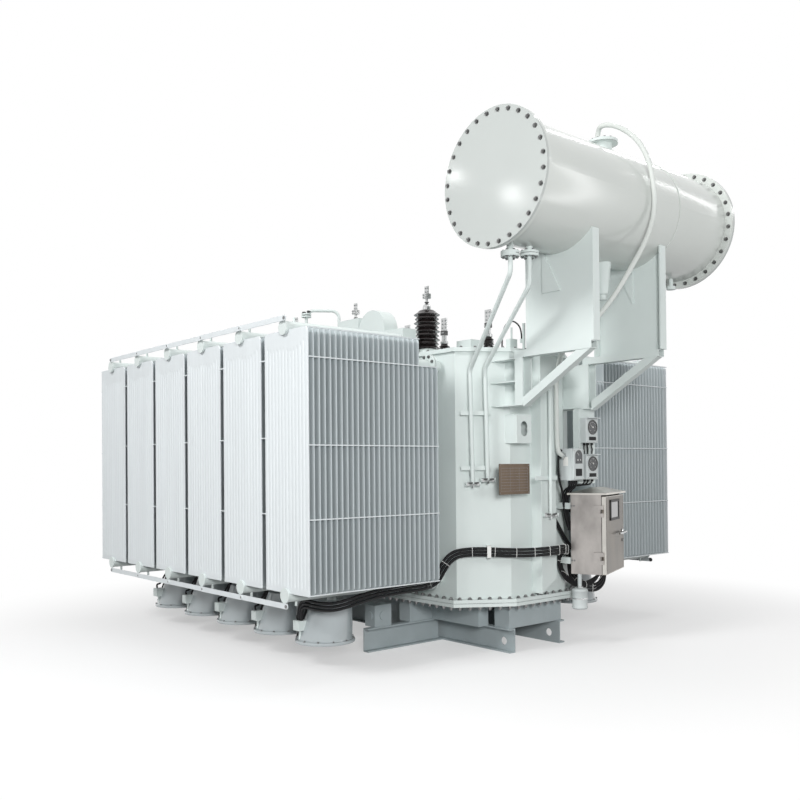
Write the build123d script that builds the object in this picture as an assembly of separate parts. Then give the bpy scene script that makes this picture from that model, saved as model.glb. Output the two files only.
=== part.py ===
from build123d import *
import math
import os

# Oil-filled power transformer with two banks of panel radiators, an expansion vessel carried
# across one end and a local control cabinet. Millimetres, +Z up: +X points to the end with
# the expansion vessel, -Y to the near radiator bank. The sizes below count from the ground
# under the middle of the tank, and every piece is moved at the end so that the origin is
# under the middle of the whole.

# Base frame: channels open outwards
BEAM_H = 180.0
BEAM_W = 60.0
BEAM_WEB = 9.0
BEAM_FLANGE = 11.0
RAIL_Y = 265.0
RAIL_HALF = 1846.0
TOW_HOLE_R = 30.0
TOW_HOLE_X = 1736.0
TOW_HOLE_Z = 74.0
CROSS_X = 1055.0
CROSS_HALF = 1081.0
BEARER_TOP = 365.0
BEARER_X = (965.0, 1090.0)
SILL_Y = 362.0
SILL_W = 105.0
SILL_HALF = 1616.0
BEARER_HALF = 650.0
END_BEARER_X = (1675.0, 1825.0)
END_BEARER_HALF = 300.0
PAD_Y = (840.0, 1004.0)
PAD_TOP = 345.0
PAD_DEPTH = 120.0
PAD_BOSS_R = 34.0
PAD_BOSS_T = 8.0

# Tank
TANK_HALF_L = 1860.0
TANK_HALF_W = 650.0
TANK_SHOULDER = 1627.0
TANK_END_HALF = 308.0
RIM = 70.0
PLATE_T = 25.0
GASKET_T = 3.0
GASKET_INSET = 14.0
TANK_TOP = 2260.0
COVER_T = 30.0
COVER_OVER = 22.0
BASE_PLATE_Z = BEARER_TOP
BELL_RIM_Z = BASE_PLATE_Z + PLATE_T + GASKET_T
BELL_Z = BELL_RIM_Z + PLATE_T
COVER_TOP = TANK_TOP + COVER_T
WALL_SLOPE = (TANK_HALF_L - TANK_SHOULDER) / (TANK_HALF_W - TANK_END_HALF)

# Stiffener down the middle of each tank end
RIB_Y = (-74.0, 95.0)
RIB_DEPTH = 100.0
RIB_T = 10.0
RIB_FOOT = 435.0
RIB_HEAD = 2240.0
RIB_FOOT_CUT = 105.0

# Radiator banks: six radiators a side, each a stack of flat panels between two headers
RADIATORS = 6
PITCH_X = 574.0
PANEL_W = 520.0
PANEL_T = 10.0
PANELS = 26
PANEL_PITCH = 45.0
SHORT_PANELS = 4
PANEL_CHAMFER = 26.0
BANK_OUTER = 2018.0
PANEL_FOOT = 578.0
PANEL_HEAD = 2315.0
SHORT_HEAD = 2122.0
HEADER_R = 44.5
HEADER_FIT = 0.3
HEAD_Z = 2334.0
FOOT_Z = 562.0
CAP_R = 50.0
CAP_T = 10.0
CAP_OUT = 10.0
HEADER_PORT_Z = 2165.0
HEADER_DROP_Y = (1020.0, 930.0)
HEADER_BEND_R = 60.0
VALVE_R = 85.0
VALVE_T = 36.0
VALVE_OUT = 110.0
PLUG_R = 9.0
PLUG_H = 30.0
PLUG_IN = 72.5
STRAP_H = 36.0
STRAP_T = 6.0
STRAP_Y = BANK_OUTER + 30.0
STRAP_Z = (2390.0, 498.0)
STRAP_HOLE_R = 9.0
STRAP_SHIFT = 45.0
BAR_LEVELS = (2119.0, 1550.0, 1069.0)
BAR_H = 8.0
BAR_T = 4.0
EDGE_BAR_IN = 5.0
SPACER_LEVELS = (0.103, 0.407, 0.704)

# Fans under the banks, one at each gap between two radiators
FANS = 5
FAN_Y = (-1510.0, 1303.0)
FAN_FOOT = 155.0
FAN_HEAD = 455.0
FAN_FLARE_R = 218.0
FAN_THROAT_R = 196.0
FAN_TOP_R = 150.0
FAN_RING_H = 24.0
FAN_OFFSET = 35.0
FAN_HANGER = 40.0
FAN_BOX = 70.0
FAN_BOX_X = -40.0
FAN_BOX_OUT = 188.0
FAN_BOX_Z = 250.0

# Expansion vessel
VESSEL_X = 2434.0
VESSEL_Z = 3273.0
VESSEL_R = 399.0
VESSEL_FLANGE_R = 454.0
VESSEL_Y = (-1067.0, 1127.0)
VESSEL_FLANGE_T = 22.0
COVER_PLATE_T = 20.0
LAP_Y = 480.0
LAP_HALF = 20.0
LAP_T = 5.0
NECK_Y = 95.0
NECK_R = 66.0
NECK_FLANGE_R = 108.0
NECK_H = 78.0
NECK_FLANGE_T = 22.0
SUMP_Y = 80.0
DRAIN_Y = 958.0

# Saddles and brackets
SADDLE_Y = 427.0
SADDLE_X = (2135.0, 2731.0)
SADDLE_TIP = 2997.0
SADDLE_T = 12.0
SADDLE_FLANGE = 70.0
ARM_Z = (2190.0, 2242.0)
ARM_X = (2022.0, 2709.0)
ARM_WALL = 5.0
POST_X = (2022.0, 2098.0)
POST_FOOT = 1842.0
POST_T = 8.0
POST_W = 100.0
POST_HOLE_R = 11.0
POST_HOLE_DROP = 70.0
STRUT_W = 60.0
STRUT_FROM = (2120.0, 1880.0)
STRUT_TO = (2655.0, 2200.0)
STRUT_IN = 5.0
GUSSET_X = (2298.0, 2456.0)
GUSSET_Z = (2614.0, 2929.0)

# Control cabinet, turned about the vertical towards the far side
CAB_CORNER = (1995.0, 227.0)
CAB_TURN = 22.9
CAB_DEPTH = 238.0
CAB_W = 595.0
CAB_Z = (564.0, 1176.0)
CAB_WALL = 4.0
DOOR_GAP = 5.0
DOOR_T = 27.0
DOOR_SKIN = 4.0
DOOR_RIM = 18.0
DOOR_DROP = 12.0
HINGE_R = 4.0
KNUCKLE_R = 7.0
HINGE_CLEAR = 0.3
HINGE_AXIS = (7.5, -9.0)
HINGE_LEVELS = (690.0, 1050.0)
HINGE_H = 90.0
HINGE_LEAF = 60.0
HINGE_LEAF_T = 3.0
ROOF_OVER = 22.0
ROOF_SKIRT = 14.0
ROOF_RISE = 38.0
HANDLE_Z = 860.0
CAB_ARM_Y = (225.0, 560.0)
CAB_ARM_Z = (667.0, 1090.0)
CAB_ARM_HALF = 24.0

# Bushings: three large ones on the near side of the cover and three small ones on the far side
HV_PLACES = ((990.0, -350.0), (30.0, -350.0), (-930.0, -350.0))
HV_SHED_R = 108.0
HV_CORE_R = 74.0
HV_SHEDS = 9
HV_PITCH = 34.5
HV_FOOT = 75.0
HV_CAP_R = 34.0
LV_PLACES = ((1011.0, 350.0), (450.0, 350.0), (-65.0, 350.0))
LV_SHED_R = 53.0
LV_CORE_R = 36.0
LV_SHEDS = 4
LV_PITCH = 30.0
LV_FOOT = 105.0

# Hood, vent loop and small fittings on the cover
HOOD_Y = (-620.0, -480.0)
HOOD_BOX_X = (127.0, 420.0)
HOOD_BOX_TOP = 2677.0
HOOD_ARCH_X = 595.0
HOOD_ARCH_R = 175.0
HOOD_SPRING = 2540.0
HOOD_END_X = 1000.0
HOOD_END_TOP = 2520.0
VENT_LEGS = ((-394.0, -600.0), (-226.0, -350.0))
VENT_TOP = 2854.0
VENT_R = 14.0
VENT_BEND_R = 70.0
VENT_VALVE_R = 45.0
VENT_VALVE_Z = (2790.0, 2812.0)
GUARD_X = 1733.0
GUARD_H = 230.0
GLAND_X = (1500.0, 1710.0)
GLAND_H = (40.0, 110.0)
SUMP_FOOT = 2607.0
SUMP_R = 62.0
DRAIN_R = 36.0

# Pipes
OIL_PIPE_R = 16.0
OIL_BEND_R = 70.0
OIL_FLANGE_R = 62.0
OIL_FLANGE_T = 18.0
OIL_NECK_R = 23.0
END_PIPE_R = 13.0
CLAMP_LEVELS = (1798.0, 1390.0)
CLAMP_H = 32.0
CLAMP_T = 6.0
BREATHER_R = 18.0
CANISTER_R = 61.0
CANISTER_Z = (292.0, 454.0)
CABLE_R = 11.0
CABLES = 3
CABLE_PITCH = 24.0

# Gauges and plates on the tank's end
GAUGE_FACE = 2100.0
GAUGE_PLATE = (2030.0, 2036.0)
GAUGE_PLATE_Y = (285.0, 480.0)
GAUGE_PLATE_Z = (1262.0, POST_FOOT)
GAUGE_RETURN = 50.0
GAUGE_Y = (298.0, 442.0)
GAUGE_LEVELS = (1585.0, 1285.0)
GAUGE_H = 200.0
DIAL_R = 54.0
DIAL_DEPTH = 6.0
RELAY_Y = (138.0, 272.0)
RELAY_Z = (1285.0, 1535.0)
RELAY_X = 1965.0
NAMEPLATE_Z = (1195.0, 1419.0)
NAMEPLATE_W = 330.0
LUG_Z = (1572.0, 1788.0)
LUG_HOLE_R = 38.0
NAMEPLATE_X = (1957.0, 1960.0)
NAMEPLATE_Y = -536.0
LUG_Y = (-340.0, -180.0)
LUG_WALL = 8.0


def box(x0, x1, y0, y1, z0, z1):
    """A block between two corners."""
    return Pos((x0 + x1) / 2, (y0 + y1) / 2, (z0 + z1) / 2) * Box(x1 - x0, y1 - y0, z1 - z0)


def prism(points, z0, z1):
    """An upright prism on an outline in plan."""
    face = make_face(Polyline(*points, close=True))
    return extrude(Pos(0, 0, z0) * face, amount=z1 - z0)


def cylinder_y(x, y0, y1, z, r):
    """A round bar along Y."""
    return Pos(x, (y0 + y1) / 2, z) * Rot(90, 0, 0) * Cylinder(r, abs(y1 - y0))


def cylinder_z(x, y, z0, z1, r):
    """An upright round bar."""
    return Pos(x, y, (z0 + z1) / 2) * Cylinder(r, z1 - z0)


def turned(points, at=(0, 0, 0)):
    """A body of revolution about a vertical axis from (radius, height) points."""
    outline = [(r, 0, z) for r, z in points]
    face = make_face(Polyline(*outline, close=True))
    return Pos(*at) * revolve(face, Axis.Z)


def mirror_y(shape):
    """The same shape on the other side of the tank."""
    return mirror(shape, about=Plane.XZ)


def mirror_x(shape):
    """The same shape at the other end of the tank."""
    return mirror(shape, about=Plane.YZ)


def half_turn(points):
    """Radius of the largest arc at each inner corner, for straight runs joined by arcs."""
    radii = []
    for a, b, c in zip(points, points[1:], points[2:]):
        run_in = Vector(*b) - Vector(*a)
        run_out = Vector(*c) - Vector(*b)
        turn = math.radians(run_in.get_angle(run_out))
        radii.append(0.45 * min(run_in.length, run_out.length) / math.tan(turn / 2))
    return radii


def tube(points, r, radii=None):
    """A round tube along straight runs joined by tangent arcs."""
    if radii is None:
        radii = half_turn(points)
    path = FilletPolyline(*points, radius=radii)
    section = Plane(origin=path @ 0, z_dir=path % 0) * Circle(r)
    return sweep(section, path=path)


def octagon(grow):
    """The tank's plan outline, a long octagon, moved outwards by grow."""
    chamfer = math.hypot(TANK_HALF_L - TANK_SHOULDER, TANK_HALF_W - TANK_END_HALF)
    ux = (TANK_HALF_L - TANK_SHOULDER) / chamfer
    uy = (TANK_HALF_W - TANK_END_HALF) / chamfer
    shoulder = TANK_SHOULDER + grow * (1 - ux) / uy
    end_half = TANK_END_HALF + grow * (1 - uy) / ux
    x = TANK_HALF_L + grow
    y = TANK_HALF_W + grow
    quarter = [(x, end_half), (shoulder, y)]
    return (
        quarter
        + [(-px, py) for px, py in reversed(quarter)]
        + [(-px, -py) for px, py in quarter]
        + [(px, -py) for px, py in reversed(quarter)]
    )


def tank_core(z0, z1):
    """The tank's body between two heights, to cut away from what stands against it."""
    return prism(octagon(0), z0, z1)


def channel(length):
    """A channel along X standing on z = 0, its web on Y = 0 and its flanges towards -Y."""
    web = box(-length / 2, length / 2, -BEAM_WEB, 0, 0, BEAM_H)
    foot = box(-length / 2, length / 2, -BEAM_W, 0, 0, BEAM_FLANGE)
    head = box(-length / 2, length / 2, -BEAM_W, 0, BEAM_H - BEAM_FLANGE, BEAM_H)
    return web + foot + head


def build_rails():
    """Two long rails with a tow hole near each end, both open outwards."""
    rail = channel(2 * RAIL_HALF)
    for x in (-TOW_HOLE_X, TOW_HOLE_X):
        rail -= cylinder_y(x, -BEAM_W, BEAM_W, TOW_HOLE_Z, TOW_HOLE_R)
    near = Pos(0, -RAIL_Y + BEAM_WEB, 0) * rail
    return {"rail_near": near, "rail_far": mirror_y(near)}


def build_cross_beam():
    """The beam across the rails at the +X side: a middle piece and two outer pieces."""
    inner = RAIL_Y - BEAM_WEB
    outer = RAIL_Y - BEAM_WEB + BEAM_W
    stub = Rot(0, 0, 90) * channel(CROSS_HALF - outer)
    middle = Rot(0, 0, 90) * channel(2 * inner)
    reach = (outer + CROSS_HALF) / 2
    pieces = [Pos(0, -reach, 0) * stub, middle, Pos(0, reach, 0) * stub]
    return [Pos(CROSS_X - BEAM_WEB, 0, 0) * piece for piece in pieces]


def build_bearer():
    """The blocks above a cross beam that carry the tank, with a jacking pad past each end."""
    x0, x1 = BEARER_X
    inner = SILL_Y - SILL_W / 2
    outer = SILL_Y + SILL_W / 2
    pieces = [box(x0, x1, -inner, inner, BEAM_H, BEARER_TOP)]
    for side in (-1, 1):
        low, high = sorted((side * outer, side * BEARER_HALF))
        pieces.append(box(x0, x1, low, high, BEAM_H, BEARER_TOP))
        pieces.append(build_pad(side))
    return pieces


def build_pad(side):
    """A jacking pad on the cross beam, with a round boss on its two outer faces."""
    low, high = sorted((side * PAD_Y[0], side * PAD_Y[1]))
    x1 = BEARER_X[1]
    middle_z = (BEAM_H + PAD_TOP) / 2
    pad = box(x1 - PAD_DEPTH, x1, low, high, BEAM_H, PAD_TOP)
    boss = Cylinder(PAD_BOSS_R, PAD_BOSS_T)
    pad += Pos(x1 + PAD_BOSS_T / 2, (low + high) / 2, middle_z) * Rot(0, 90, 0) * boss
    outer_y = side * (PAD_Y[1] + PAD_BOSS_T / 2)
    pad += Pos(x1 - PAD_DEPTH / 2, outer_y, middle_z) * Rot(90, 0, 0) * boss
    return pad


def both_ends(pieces):
    """The same pieces at the +X end and, mirrored, at the other one."""
    return Compound(list(pieces) + [mirror_x(piece) for piece in pieces])


def both_sides(pieces):
    """The same pieces on the near side and, mirrored, on the far one."""
    return Compound(list(pieces) + [mirror_y(piece) for piece in pieces])


def build_base():
    """Everything between the ground and the tank."""
    parts = build_rails()
    parts["cross_beams"] = both_ends(build_cross_beam())
    x0, x1 = END_BEARER_X
    end_bearer = box(x0, x1, -END_BEARER_HALF, END_BEARER_HALF, BEAM_H, BEARER_TOP)
    parts["bearers"] = both_ends(build_bearer() + [end_bearer])
    sill = box(-SILL_HALF, SILL_HALF, -SILL_Y - SILL_W / 2, -SILL_Y + SILL_W / 2, BEAM_H, BEARER_TOP)
    parts["sills"] = both_sides([sill])
    return parts


def build_tank():
    """Base plate, bell with its bolted rim, and cover."""
    base_plate = prism(octagon(RIM), BASE_PLATE_Z, BASE_PLATE_Z + PLATE_T)
    gasket = prism(octagon(RIM - GASKET_INSET), BASE_PLATE_Z + PLATE_T, BELL_RIM_Z)
    bell_rim = prism(octagon(RIM), BELL_RIM_Z, BELL_Z)
    walls = prism(octagon(0), BELL_Z, TANK_TOP)
    cover = prism(octagon(COVER_OVER), TANK_TOP, COVER_TOP)
    return {
        "tank_base_plate": base_plate,
        "rim_gasket": gasket,
        "tank_bell": bell_rim + walls,
        "tank_cover": cover,
        "end_ribs": both_ends([build_rib()]),
    }


def build_rib():
    """A pressed channel standing on the tank's end wall, cut away at its foot."""
    x0 = TANK_HALF_L
    x1 = x0 + RIB_DEPTH
    y0, y1 = RIB_Y
    outer = box(x0, x1, y0, y1, RIB_FOOT, RIB_HEAD)
    hollow = box(x0, x1 - RIB_T, y0 + RIB_T, y1 - RIB_T, RIB_FOOT, RIB_HEAD - RIB_T)
    foot_cut = [(y0, RIB_FOOT), (y1 + 1, RIB_FOOT), (y1 + 1, RIB_FOOT + RIB_FOOT_CUT)]
    wedge = extrude(Plane.YZ * make_face(Polyline(*foot_cut, close=True)), amount=x1 + RIB_T)
    return outer - hollow - wedge


def build_panel(head, head_z):
    """A flat panel with cut corners, notched round the pipe at its foot and at its head."""
    half = PANEL_W / 2
    c = PANEL_CHAMFER
    outline = [
        (-half + c, PANEL_FOOT),
        (half - c, PANEL_FOOT),
        (half, PANEL_FOOT + c),
        (half, head - c),
        (half - c, head),
        (-half + c, head),
        (-half, head - c),
        (-half, PANEL_FOOT + c),
    ]
    face = make_face(Polyline(*[(x, 0, z) for x, z in outline], close=True))
    panel = extrude(face, amount=PANEL_T, dir=(0, 1, 0))
    for z in (FOOT_Z, head_z):
        panel -= cylinder_y(0, -PANEL_T, 2 * PANEL_T, z, HEADER_R + HEADER_FIT)
    return panel


def build_radiator(x):
    """One radiator of the near bank: tall panels, then short ones under the header's drop."""
    tall = build_panel(PANEL_HEAD, HEAD_Z)
    short = build_panel(SHORT_HEAD, HEADER_PORT_Z)
    panels = []
    for index in range(PANELS):
        panel = short if index >= PANELS - SHORT_PANELS else tall
        panels.append(Pos(x, -BANK_OUTER + index * PANEL_PITCH, 0) * panel)
    return panels


def radiator_places():
    """X of each radiator's centre, from the +X end."""
    return [PITCH_X * ((RADIATORS - 1) / 2 - index) for index in range(RADIATORS)]


def header_end(x, z, side):
    """The end cap of a header outside the bank, with a plug on the pipe behind it."""
    y0 = -BANK_OUTER - CAP_OUT
    end = cylinder_y(x, y0 - CAP_T, y0, z, CAP_R)
    low, high = sorted((z, z + side * (HEADER_R + PLUG_H)))
    return end + cylinder_z(x, -BANK_OUTER + PLUG_IN, low, high, PLUG_R)


def valve_flange(x, z):
    """The pair of flanges where a header meets its port in the tank wall."""
    y0 = -TANK_HALF_W - VALVE_OUT
    return cylinder_y(x, y0, y0 + VALVE_T, z, VALVE_R)


def build_top_header(x):
    """A top pipe of the near bank, dropping to its port in the tank wall."""
    route = [
        (x, -BANK_OUTER - CAP_OUT, HEAD_Z),
        (x, -HEADER_DROP_Y[0], HEAD_Z),
        (x, -HEADER_DROP_Y[1], HEADER_PORT_Z),
        (x, -TANK_HALF_W, HEADER_PORT_Z),
    ]
    pipe = tube(route, HEADER_R, [HEADER_BEND_R, HEADER_BEND_R])
    return pipe + header_end(x, HEAD_Z, 1) + valve_flange(x, HEADER_PORT_Z)


def build_bottom_header(x):
    """A bottom pipe of the near bank, straight into the tank wall."""
    pipe = cylinder_y(x, -BANK_OUTER - CAP_OUT, -TANK_HALF_W, FOOT_Z, HEADER_R)
    return pipe + header_end(x, FOOT_Z, -1) + valve_flange(x, FOOT_Z)


def build_strap(x0, x1, y, z):
    """A flat link between two headers, round at both ends, with a hole in each."""
    half = STRAP_H / 2
    strap = box(x0, x1, y - STRAP_T, y, z - half, z + half)
    for x in (x0, x1):
        strap += cylinder_y(x, y - STRAP_T, y, z, half)
        strap -= cylinder_y(x, y - 2 * STRAP_T, y + STRAP_T, z, STRAP_HOLE_R)
    return strap


def build_straps():
    """The rows of links over the top headers and under the bottom ones, near side."""
    places = [x + STRAP_SHIFT for x in radiator_places()]
    links = []
    for z in STRAP_Z:
        for index, (x1, x0) in enumerate(zip(places, places[1:])):
            y = -STRAP_Y - (index % 2) * STRAP_T
            links.append(build_strap(x0, x1, y, z))
    return links


def build_bars():
    """Thin bars across the panels' edges, and spacers in the gaps between radiators."""
    bars = []
    places = radiator_places()
    y_outer = -BANK_OUTER
    y_inner = y_outer + (PANELS - 1) * PANEL_PITCH + PANEL_T
    y_tall = y_outer + (PANELS - SHORT_PANELS - 1) * PANEL_PITCH + PANEL_T
    levels = [(level, y_inner) for level in BAR_LEVELS]
    levels += [(PANEL_HEAD - EDGE_BAR_IN, y_tall), (PANEL_FOOT + EDGE_BAR_IN, y_inner)]
    for x, sign in ((places[0] + PANEL_W / 2, 1), (places[-1] - PANEL_W / 2, -1)):
        x0, x1 = sorted((x, x + sign * BAR_T))
        for level, reach in levels:
            bars.append(box(x0, x1, y_outer, reach, level - BAR_H / 2, level + BAR_H / 2))
    gap = PITCH_X - PANEL_W
    for left in places[1:]:
        x0 = left + PANEL_W / 2
        for share in SPACER_LEVELS:
            z = PANEL_HEAD - share * (PANEL_HEAD - PANEL_FOOT)
            bars.append(box(x0, x0 + gap, y_outer + 1, y_outer + PANEL_T - 1, z - BAR_H / 2, z + BAR_H / 2))
    return bars


def build_fan(x, y, side):
    """A fan cowl, leaning towards the bank's middle, on a flat ring, with its junction box."""
    ring = cylinder_z(x, y, FAN_FOOT, FAN_FOOT + FAN_RING_H, FAN_FLARE_R)
    lower = Plane.XY.offset(FAN_FOOT + FAN_RING_H) * Pos(x, y) * Circle(FAN_THROAT_R)
    upper = Plane.XY.offset(FAN_HEAD) * Pos(x + FAN_OFFSET, y - side * FAN_OFFSET) * Circle(FAN_TOP_R)
    fan = ring + loft([lower, upper])
    hanger_x = x + FAN_OFFSET
    fan += box(hanger_x - FAN_HANGER, hanger_x + FAN_HANGER, y - 10, y + 10, FAN_HEAD - 1, FOOT_Z - HEADER_R)
    box_x = x + FAN_BOX_X
    box_y = y + side * FAN_BOX_OUT
    half = FAN_BOX / 2
    post_r = 9
    junction = box(box_x - half, box_x + half, box_y - half, box_y + half, FAN_BOX_Z, FAN_BOX_Z + FAN_BOX)
    post = cylinder_z(box_x, box_y, FAN_FOOT + FAN_RING_H - 1, FAN_BOX_Z + 1, post_r)
    return [fan + post + junction]


def fan_places():
    """X of each fan, at the gaps between radiators."""
    return [PITCH_X * ((FANS - 1) / 2 - index) for index in range(FANS)]


def build_banks():
    """Both radiator banks. The far one mirrors the near one."""
    parts = {}
    places = radiator_places()
    for index, x in enumerate(places, start=1):
        panels = build_radiator(x)
        parts[f"radiator_near_{index}"] = Compound(panels)
        parts[f"radiator_far_{index}"] = mirror_y(Compound(panels))
    top = Compound([build_top_header(x) for x in places])
    parts["top_headers_near"] = top
    parts["top_headers_far"] = mirror_y(top)
    parts["bottom_headers"] = both_sides([build_bottom_header(x) for x in places])
    parts["header_straps"] = both_sides(build_straps())
    parts["panel_bars"] = both_sides(build_bars())
    for name, y, side in (("fans_near", FAN_Y[0], -1), ("fans_far", FAN_Y[1], 1)):
        parts[name] = Compound([piece for x in fan_places() for piece in build_fan(x, y, side)])
    return parts


def build_vessel():
    """The expansion vessel: a plain barrel with bolted end covers, a filler neck and drains."""
    y0, y1 = VESSEL_Y
    x, z = VESSEL_X, VESSEL_Z
    inner0 = y0 + COVER_PLATE_T
    inner1 = y1 - COVER_PLATE_T
    barrel = cylinder_y(x, inner0, inner1, z, VESSEL_R)
    barrel += cylinder_y(x, inner0, inner0 + VESSEL_FLANGE_T, z, VESSEL_FLANGE_R)
    barrel += cylinder_y(x, inner1 - VESSEL_FLANGE_T, inner1, z, VESSEL_FLANGE_R)
    barrel += cylinder_y(x, LAP_Y - LAP_HALF, LAP_Y + LAP_HALF, z, VESSEL_R + LAP_T)
    full = cylinder_y(x, y0, y1, z, VESSEL_R)
    top = z + VESSEL_R
    neck = cylinder_z(x, NECK_Y, z, top + NECK_H, NECK_R) - full
    neck += cylinder_z(x, NECK_Y, top + NECK_H, top + NECK_H + NECK_FLANGE_T, NECK_FLANGE_R)
    covers = [
        cylinder_y(x, y0, inner0, z, VESSEL_FLANGE_R),
        cylinder_y(x, inner1, y1, z, VESSEL_FLANGE_R),
    ]
    return {
        "vessel_barrel": barrel,
        "vessel_covers": Compound(covers),
        "filler_neck": neck,
        "vessel_drains": Compound([piece - full for piece in build_drains()]),
    }


def build_drains():
    """The sludge cone under the middle of the vessel and a drain valve near its far end."""
    foot = VESSEL_Z - VESSEL_R
    plug = 0.4 * SUMP_R
    cone = [(0, SUMP_FOOT), (plug, SUMP_FOOT), (plug, SUMP_FOOT + 33), (0.6 * SUMP_R, SUMP_FOOT + 43)]
    cone += [(SUMP_R, foot + 30), (0, foot + 30)]
    drain = cylinder_z(VESSEL_X, DRAIN_Y, foot - 60, foot + 10, OIL_PIPE_R)
    drain += cylinder_z(VESSEL_X, DRAIN_Y, foot - 84, foot - 60, DRAIN_R)
    return [turned(cone, (VESSEL_X, SUMP_Y, 0)), drain]


def build_saddle():
    """The near saddle: a flanged plate with a curved seat, on a square arm."""
    x0, x1 = SADDLE_X
    y0 = -SADDLE_Y
    y1 = y0 + SADDLE_FLANGE
    plate = box(x0, x1, y0, y0 + SADDLE_T, ARM_Z[1], SADDLE_TIP)
    for x in (x0, x1 - SADDLE_T):
        plate += box(x, x + SADDLE_T, y0, y1, ARM_Z[1], SADDLE_TIP)
    plate -= cylinder_y(VESSEL_X, y0 - SADDLE_T, y1 + SADDLE_T, VESSEL_Z, VESSEL_R)
    gusset_x0, gusset_x1 = GUSSET_X
    gusset = [
        (gusset_x0, 0, GUSSET_Z[1]),
        (gusset_x0, 0, GUSSET_Z[0]),
        (gusset_x1, 0, GUSSET_Z[0]),
    ]
    web = extrude(make_face(Polyline(*gusset, close=True)), amount=SADDLE_T, dir=(0, 1, 0))
    plate += Pos(0, y0 - SADDLE_T, 0) * web - cylinder_y(VESSEL_X, y0 - SADDLE_FLANGE, y1, VESSEL_Z, VESSEL_R)
    x0, x1 = ARM_X
    z0, z1 = ARM_Z
    arm = box(x0, x1, y0, y1, z0, z1)
    arm -= box(x0 + POST_W, x1, y0 + ARM_WALL, y1 - ARM_WALL, z0 + ARM_WALL, z1 - ARM_WALL)
    return plate + arm


def build_post():
    """The near post: an upright channel tied to the tank's corner by three shelves."""
    x0, x1 = POST_X
    y0 = -SADDLE_Y
    y1 = y0 + POST_W
    top = ARM_Z[0]
    post = box(x0, x1, y0, y1, POST_FOOT, top)
    post -= box(x0 + POST_T, x1, y0 + POST_T, y1 - POST_T, POST_FOOT + POST_T, top)
    hole = Rot(0, 90, 0) * Cylinder(POST_HOLE_R, 4 * POST_T)
    post -= Pos(x0, (y0 + y1) / 2, top - POST_HOLE_DROP) * hole
    for z in (POST_FOOT, (POST_FOOT + top) / 2, top - POST_T):
        post += box(TANK_SHOULDER, x0, y0, y1, z, z + POST_T) - tank_core(z, z + POST_T)
    return post


def build_strut():
    """The near strut: a square bar from the post's foot up to the arm."""
    (xa, za), (xb, zb) = STRUT_FROM, STRUT_TO
    rise = (zb - za) / (xb - xa)
    drop = STRUT_W / 2 * math.hypot(1, rise)
    face_x = POST_X[1]
    top = ARM_Z[0]
    outline = [
        (face_x, za + (face_x - xa) * rise - drop),
        (xa + (top + drop - za) / rise, top),
        (xa + (top - drop - za) / rise, top),
        (face_x, za + (face_x - xa) * rise + drop),
    ]
    y0 = -SADDLE_Y + STRUT_IN
    face = make_face(Polyline(*[(x, y0, z) for x, z in outline], close=True))
    return extrude(face, amount=STRUT_W, dir=(0, 1, 0))


def build_support():
    """Saddles, posts and struts on both sides."""
    saddle = build_saddle()
    return {
        "saddle_near": saddle,
        "saddle_far": mirror_y(saddle),
        "posts": both_sides([build_post()]),
        "struts": both_sides([build_strut()]),
    }


def in_cabinet(shape):
    """Places a shape drawn in the cabinet's own frame: X out of the door, Y along it."""
    return Pos(CAB_CORNER[0], CAB_CORNER[1], 0) * Rot(0, 0, CAB_TURN) * shape


def build_cabinet():
    """Hollow case, low roof, hinges and a pan-shaped door."""
    z0, z1 = CAB_Z
    case = box(0, CAB_DEPTH, 0, CAB_W, z0, z1)
    case -= box(CAB_WALL, CAB_DEPTH, CAB_WALL, CAB_W - CAB_WALL, z0 + CAB_WALL, z1 - CAB_WALL)
    door_x = CAB_DEPTH + DOOR_GAP
    face_x = door_x + DOOR_T
    top = z1 - DOOR_DROP
    low, high = z0 + DOOR_RIM, top - DOOR_RIM
    door = box(door_x, face_x, 0, CAB_W, z0, top)
    door -= box(door_x, face_x - DOOR_SKIN, DOOR_RIM, CAB_W - DOOR_RIM, low, high)
    hinges = []
    for level in HINGE_LEVELS:
        door, hinge = build_hinge(door, level)
        hinges.append(hinge)
    return {
        "cabinet_case": in_cabinet(case),
        "cabinet_roof": in_cabinet(build_roof()),
        "cabinet_door": in_cabinet(door),
        "door_handle": in_cabinet(build_handle(face_x)),
        "cabinet_hinges": in_cabinet(Compound(hinges)),
        "cabinet_arms": build_arms(),
    }


def build_hinge(door, level):
    """A hinge at one level: the door with its own knuckle, and the pin with the case's two."""
    x = CAB_DEPTH + DOOR_GAP + HINGE_AXIS[0]
    y = HINGE_AXIS[1]
    door_x = CAB_DEPTH + DOOR_GAP
    third = HINGE_H / 3
    foot = level - HINGE_H / 2
    head = foot + HINGE_H
    notch = KNUCKLE_R * 2.0
    door -= box(door_x - 1, door_x + 20, -1, KNUCKLE_R, foot - 6, head + 6)
    low, high = foot + third + 1, foot + 2 * third - 1
    door += box(x, x + KNUCKLE_R, y, notch - 2, low, high) + cylinder_z(x, y, low, high, KNUCKLE_R)
    door -= cylinder_z(x, y, foot, head, HINGE_R + HINGE_CLEAR)
    pin = cylinder_z(x, y, foot, head, HINGE_R)
    leaf_x = CAB_DEPTH - HINGE_LEAF
    leaf_y = y - KNUCKLE_R
    for start in (foot, foot + 2 * third):
        pin += cylinder_z(x, y, start, start + third, KNUCKLE_R)
        pin += box(leaf_x, x, leaf_y, leaf_y + HINGE_LEAF_T, start, start + third)
    pin += box(leaf_x, CAB_DEPTH - 6, leaf_y, 0, foot, head)
    return door, pin


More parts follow.
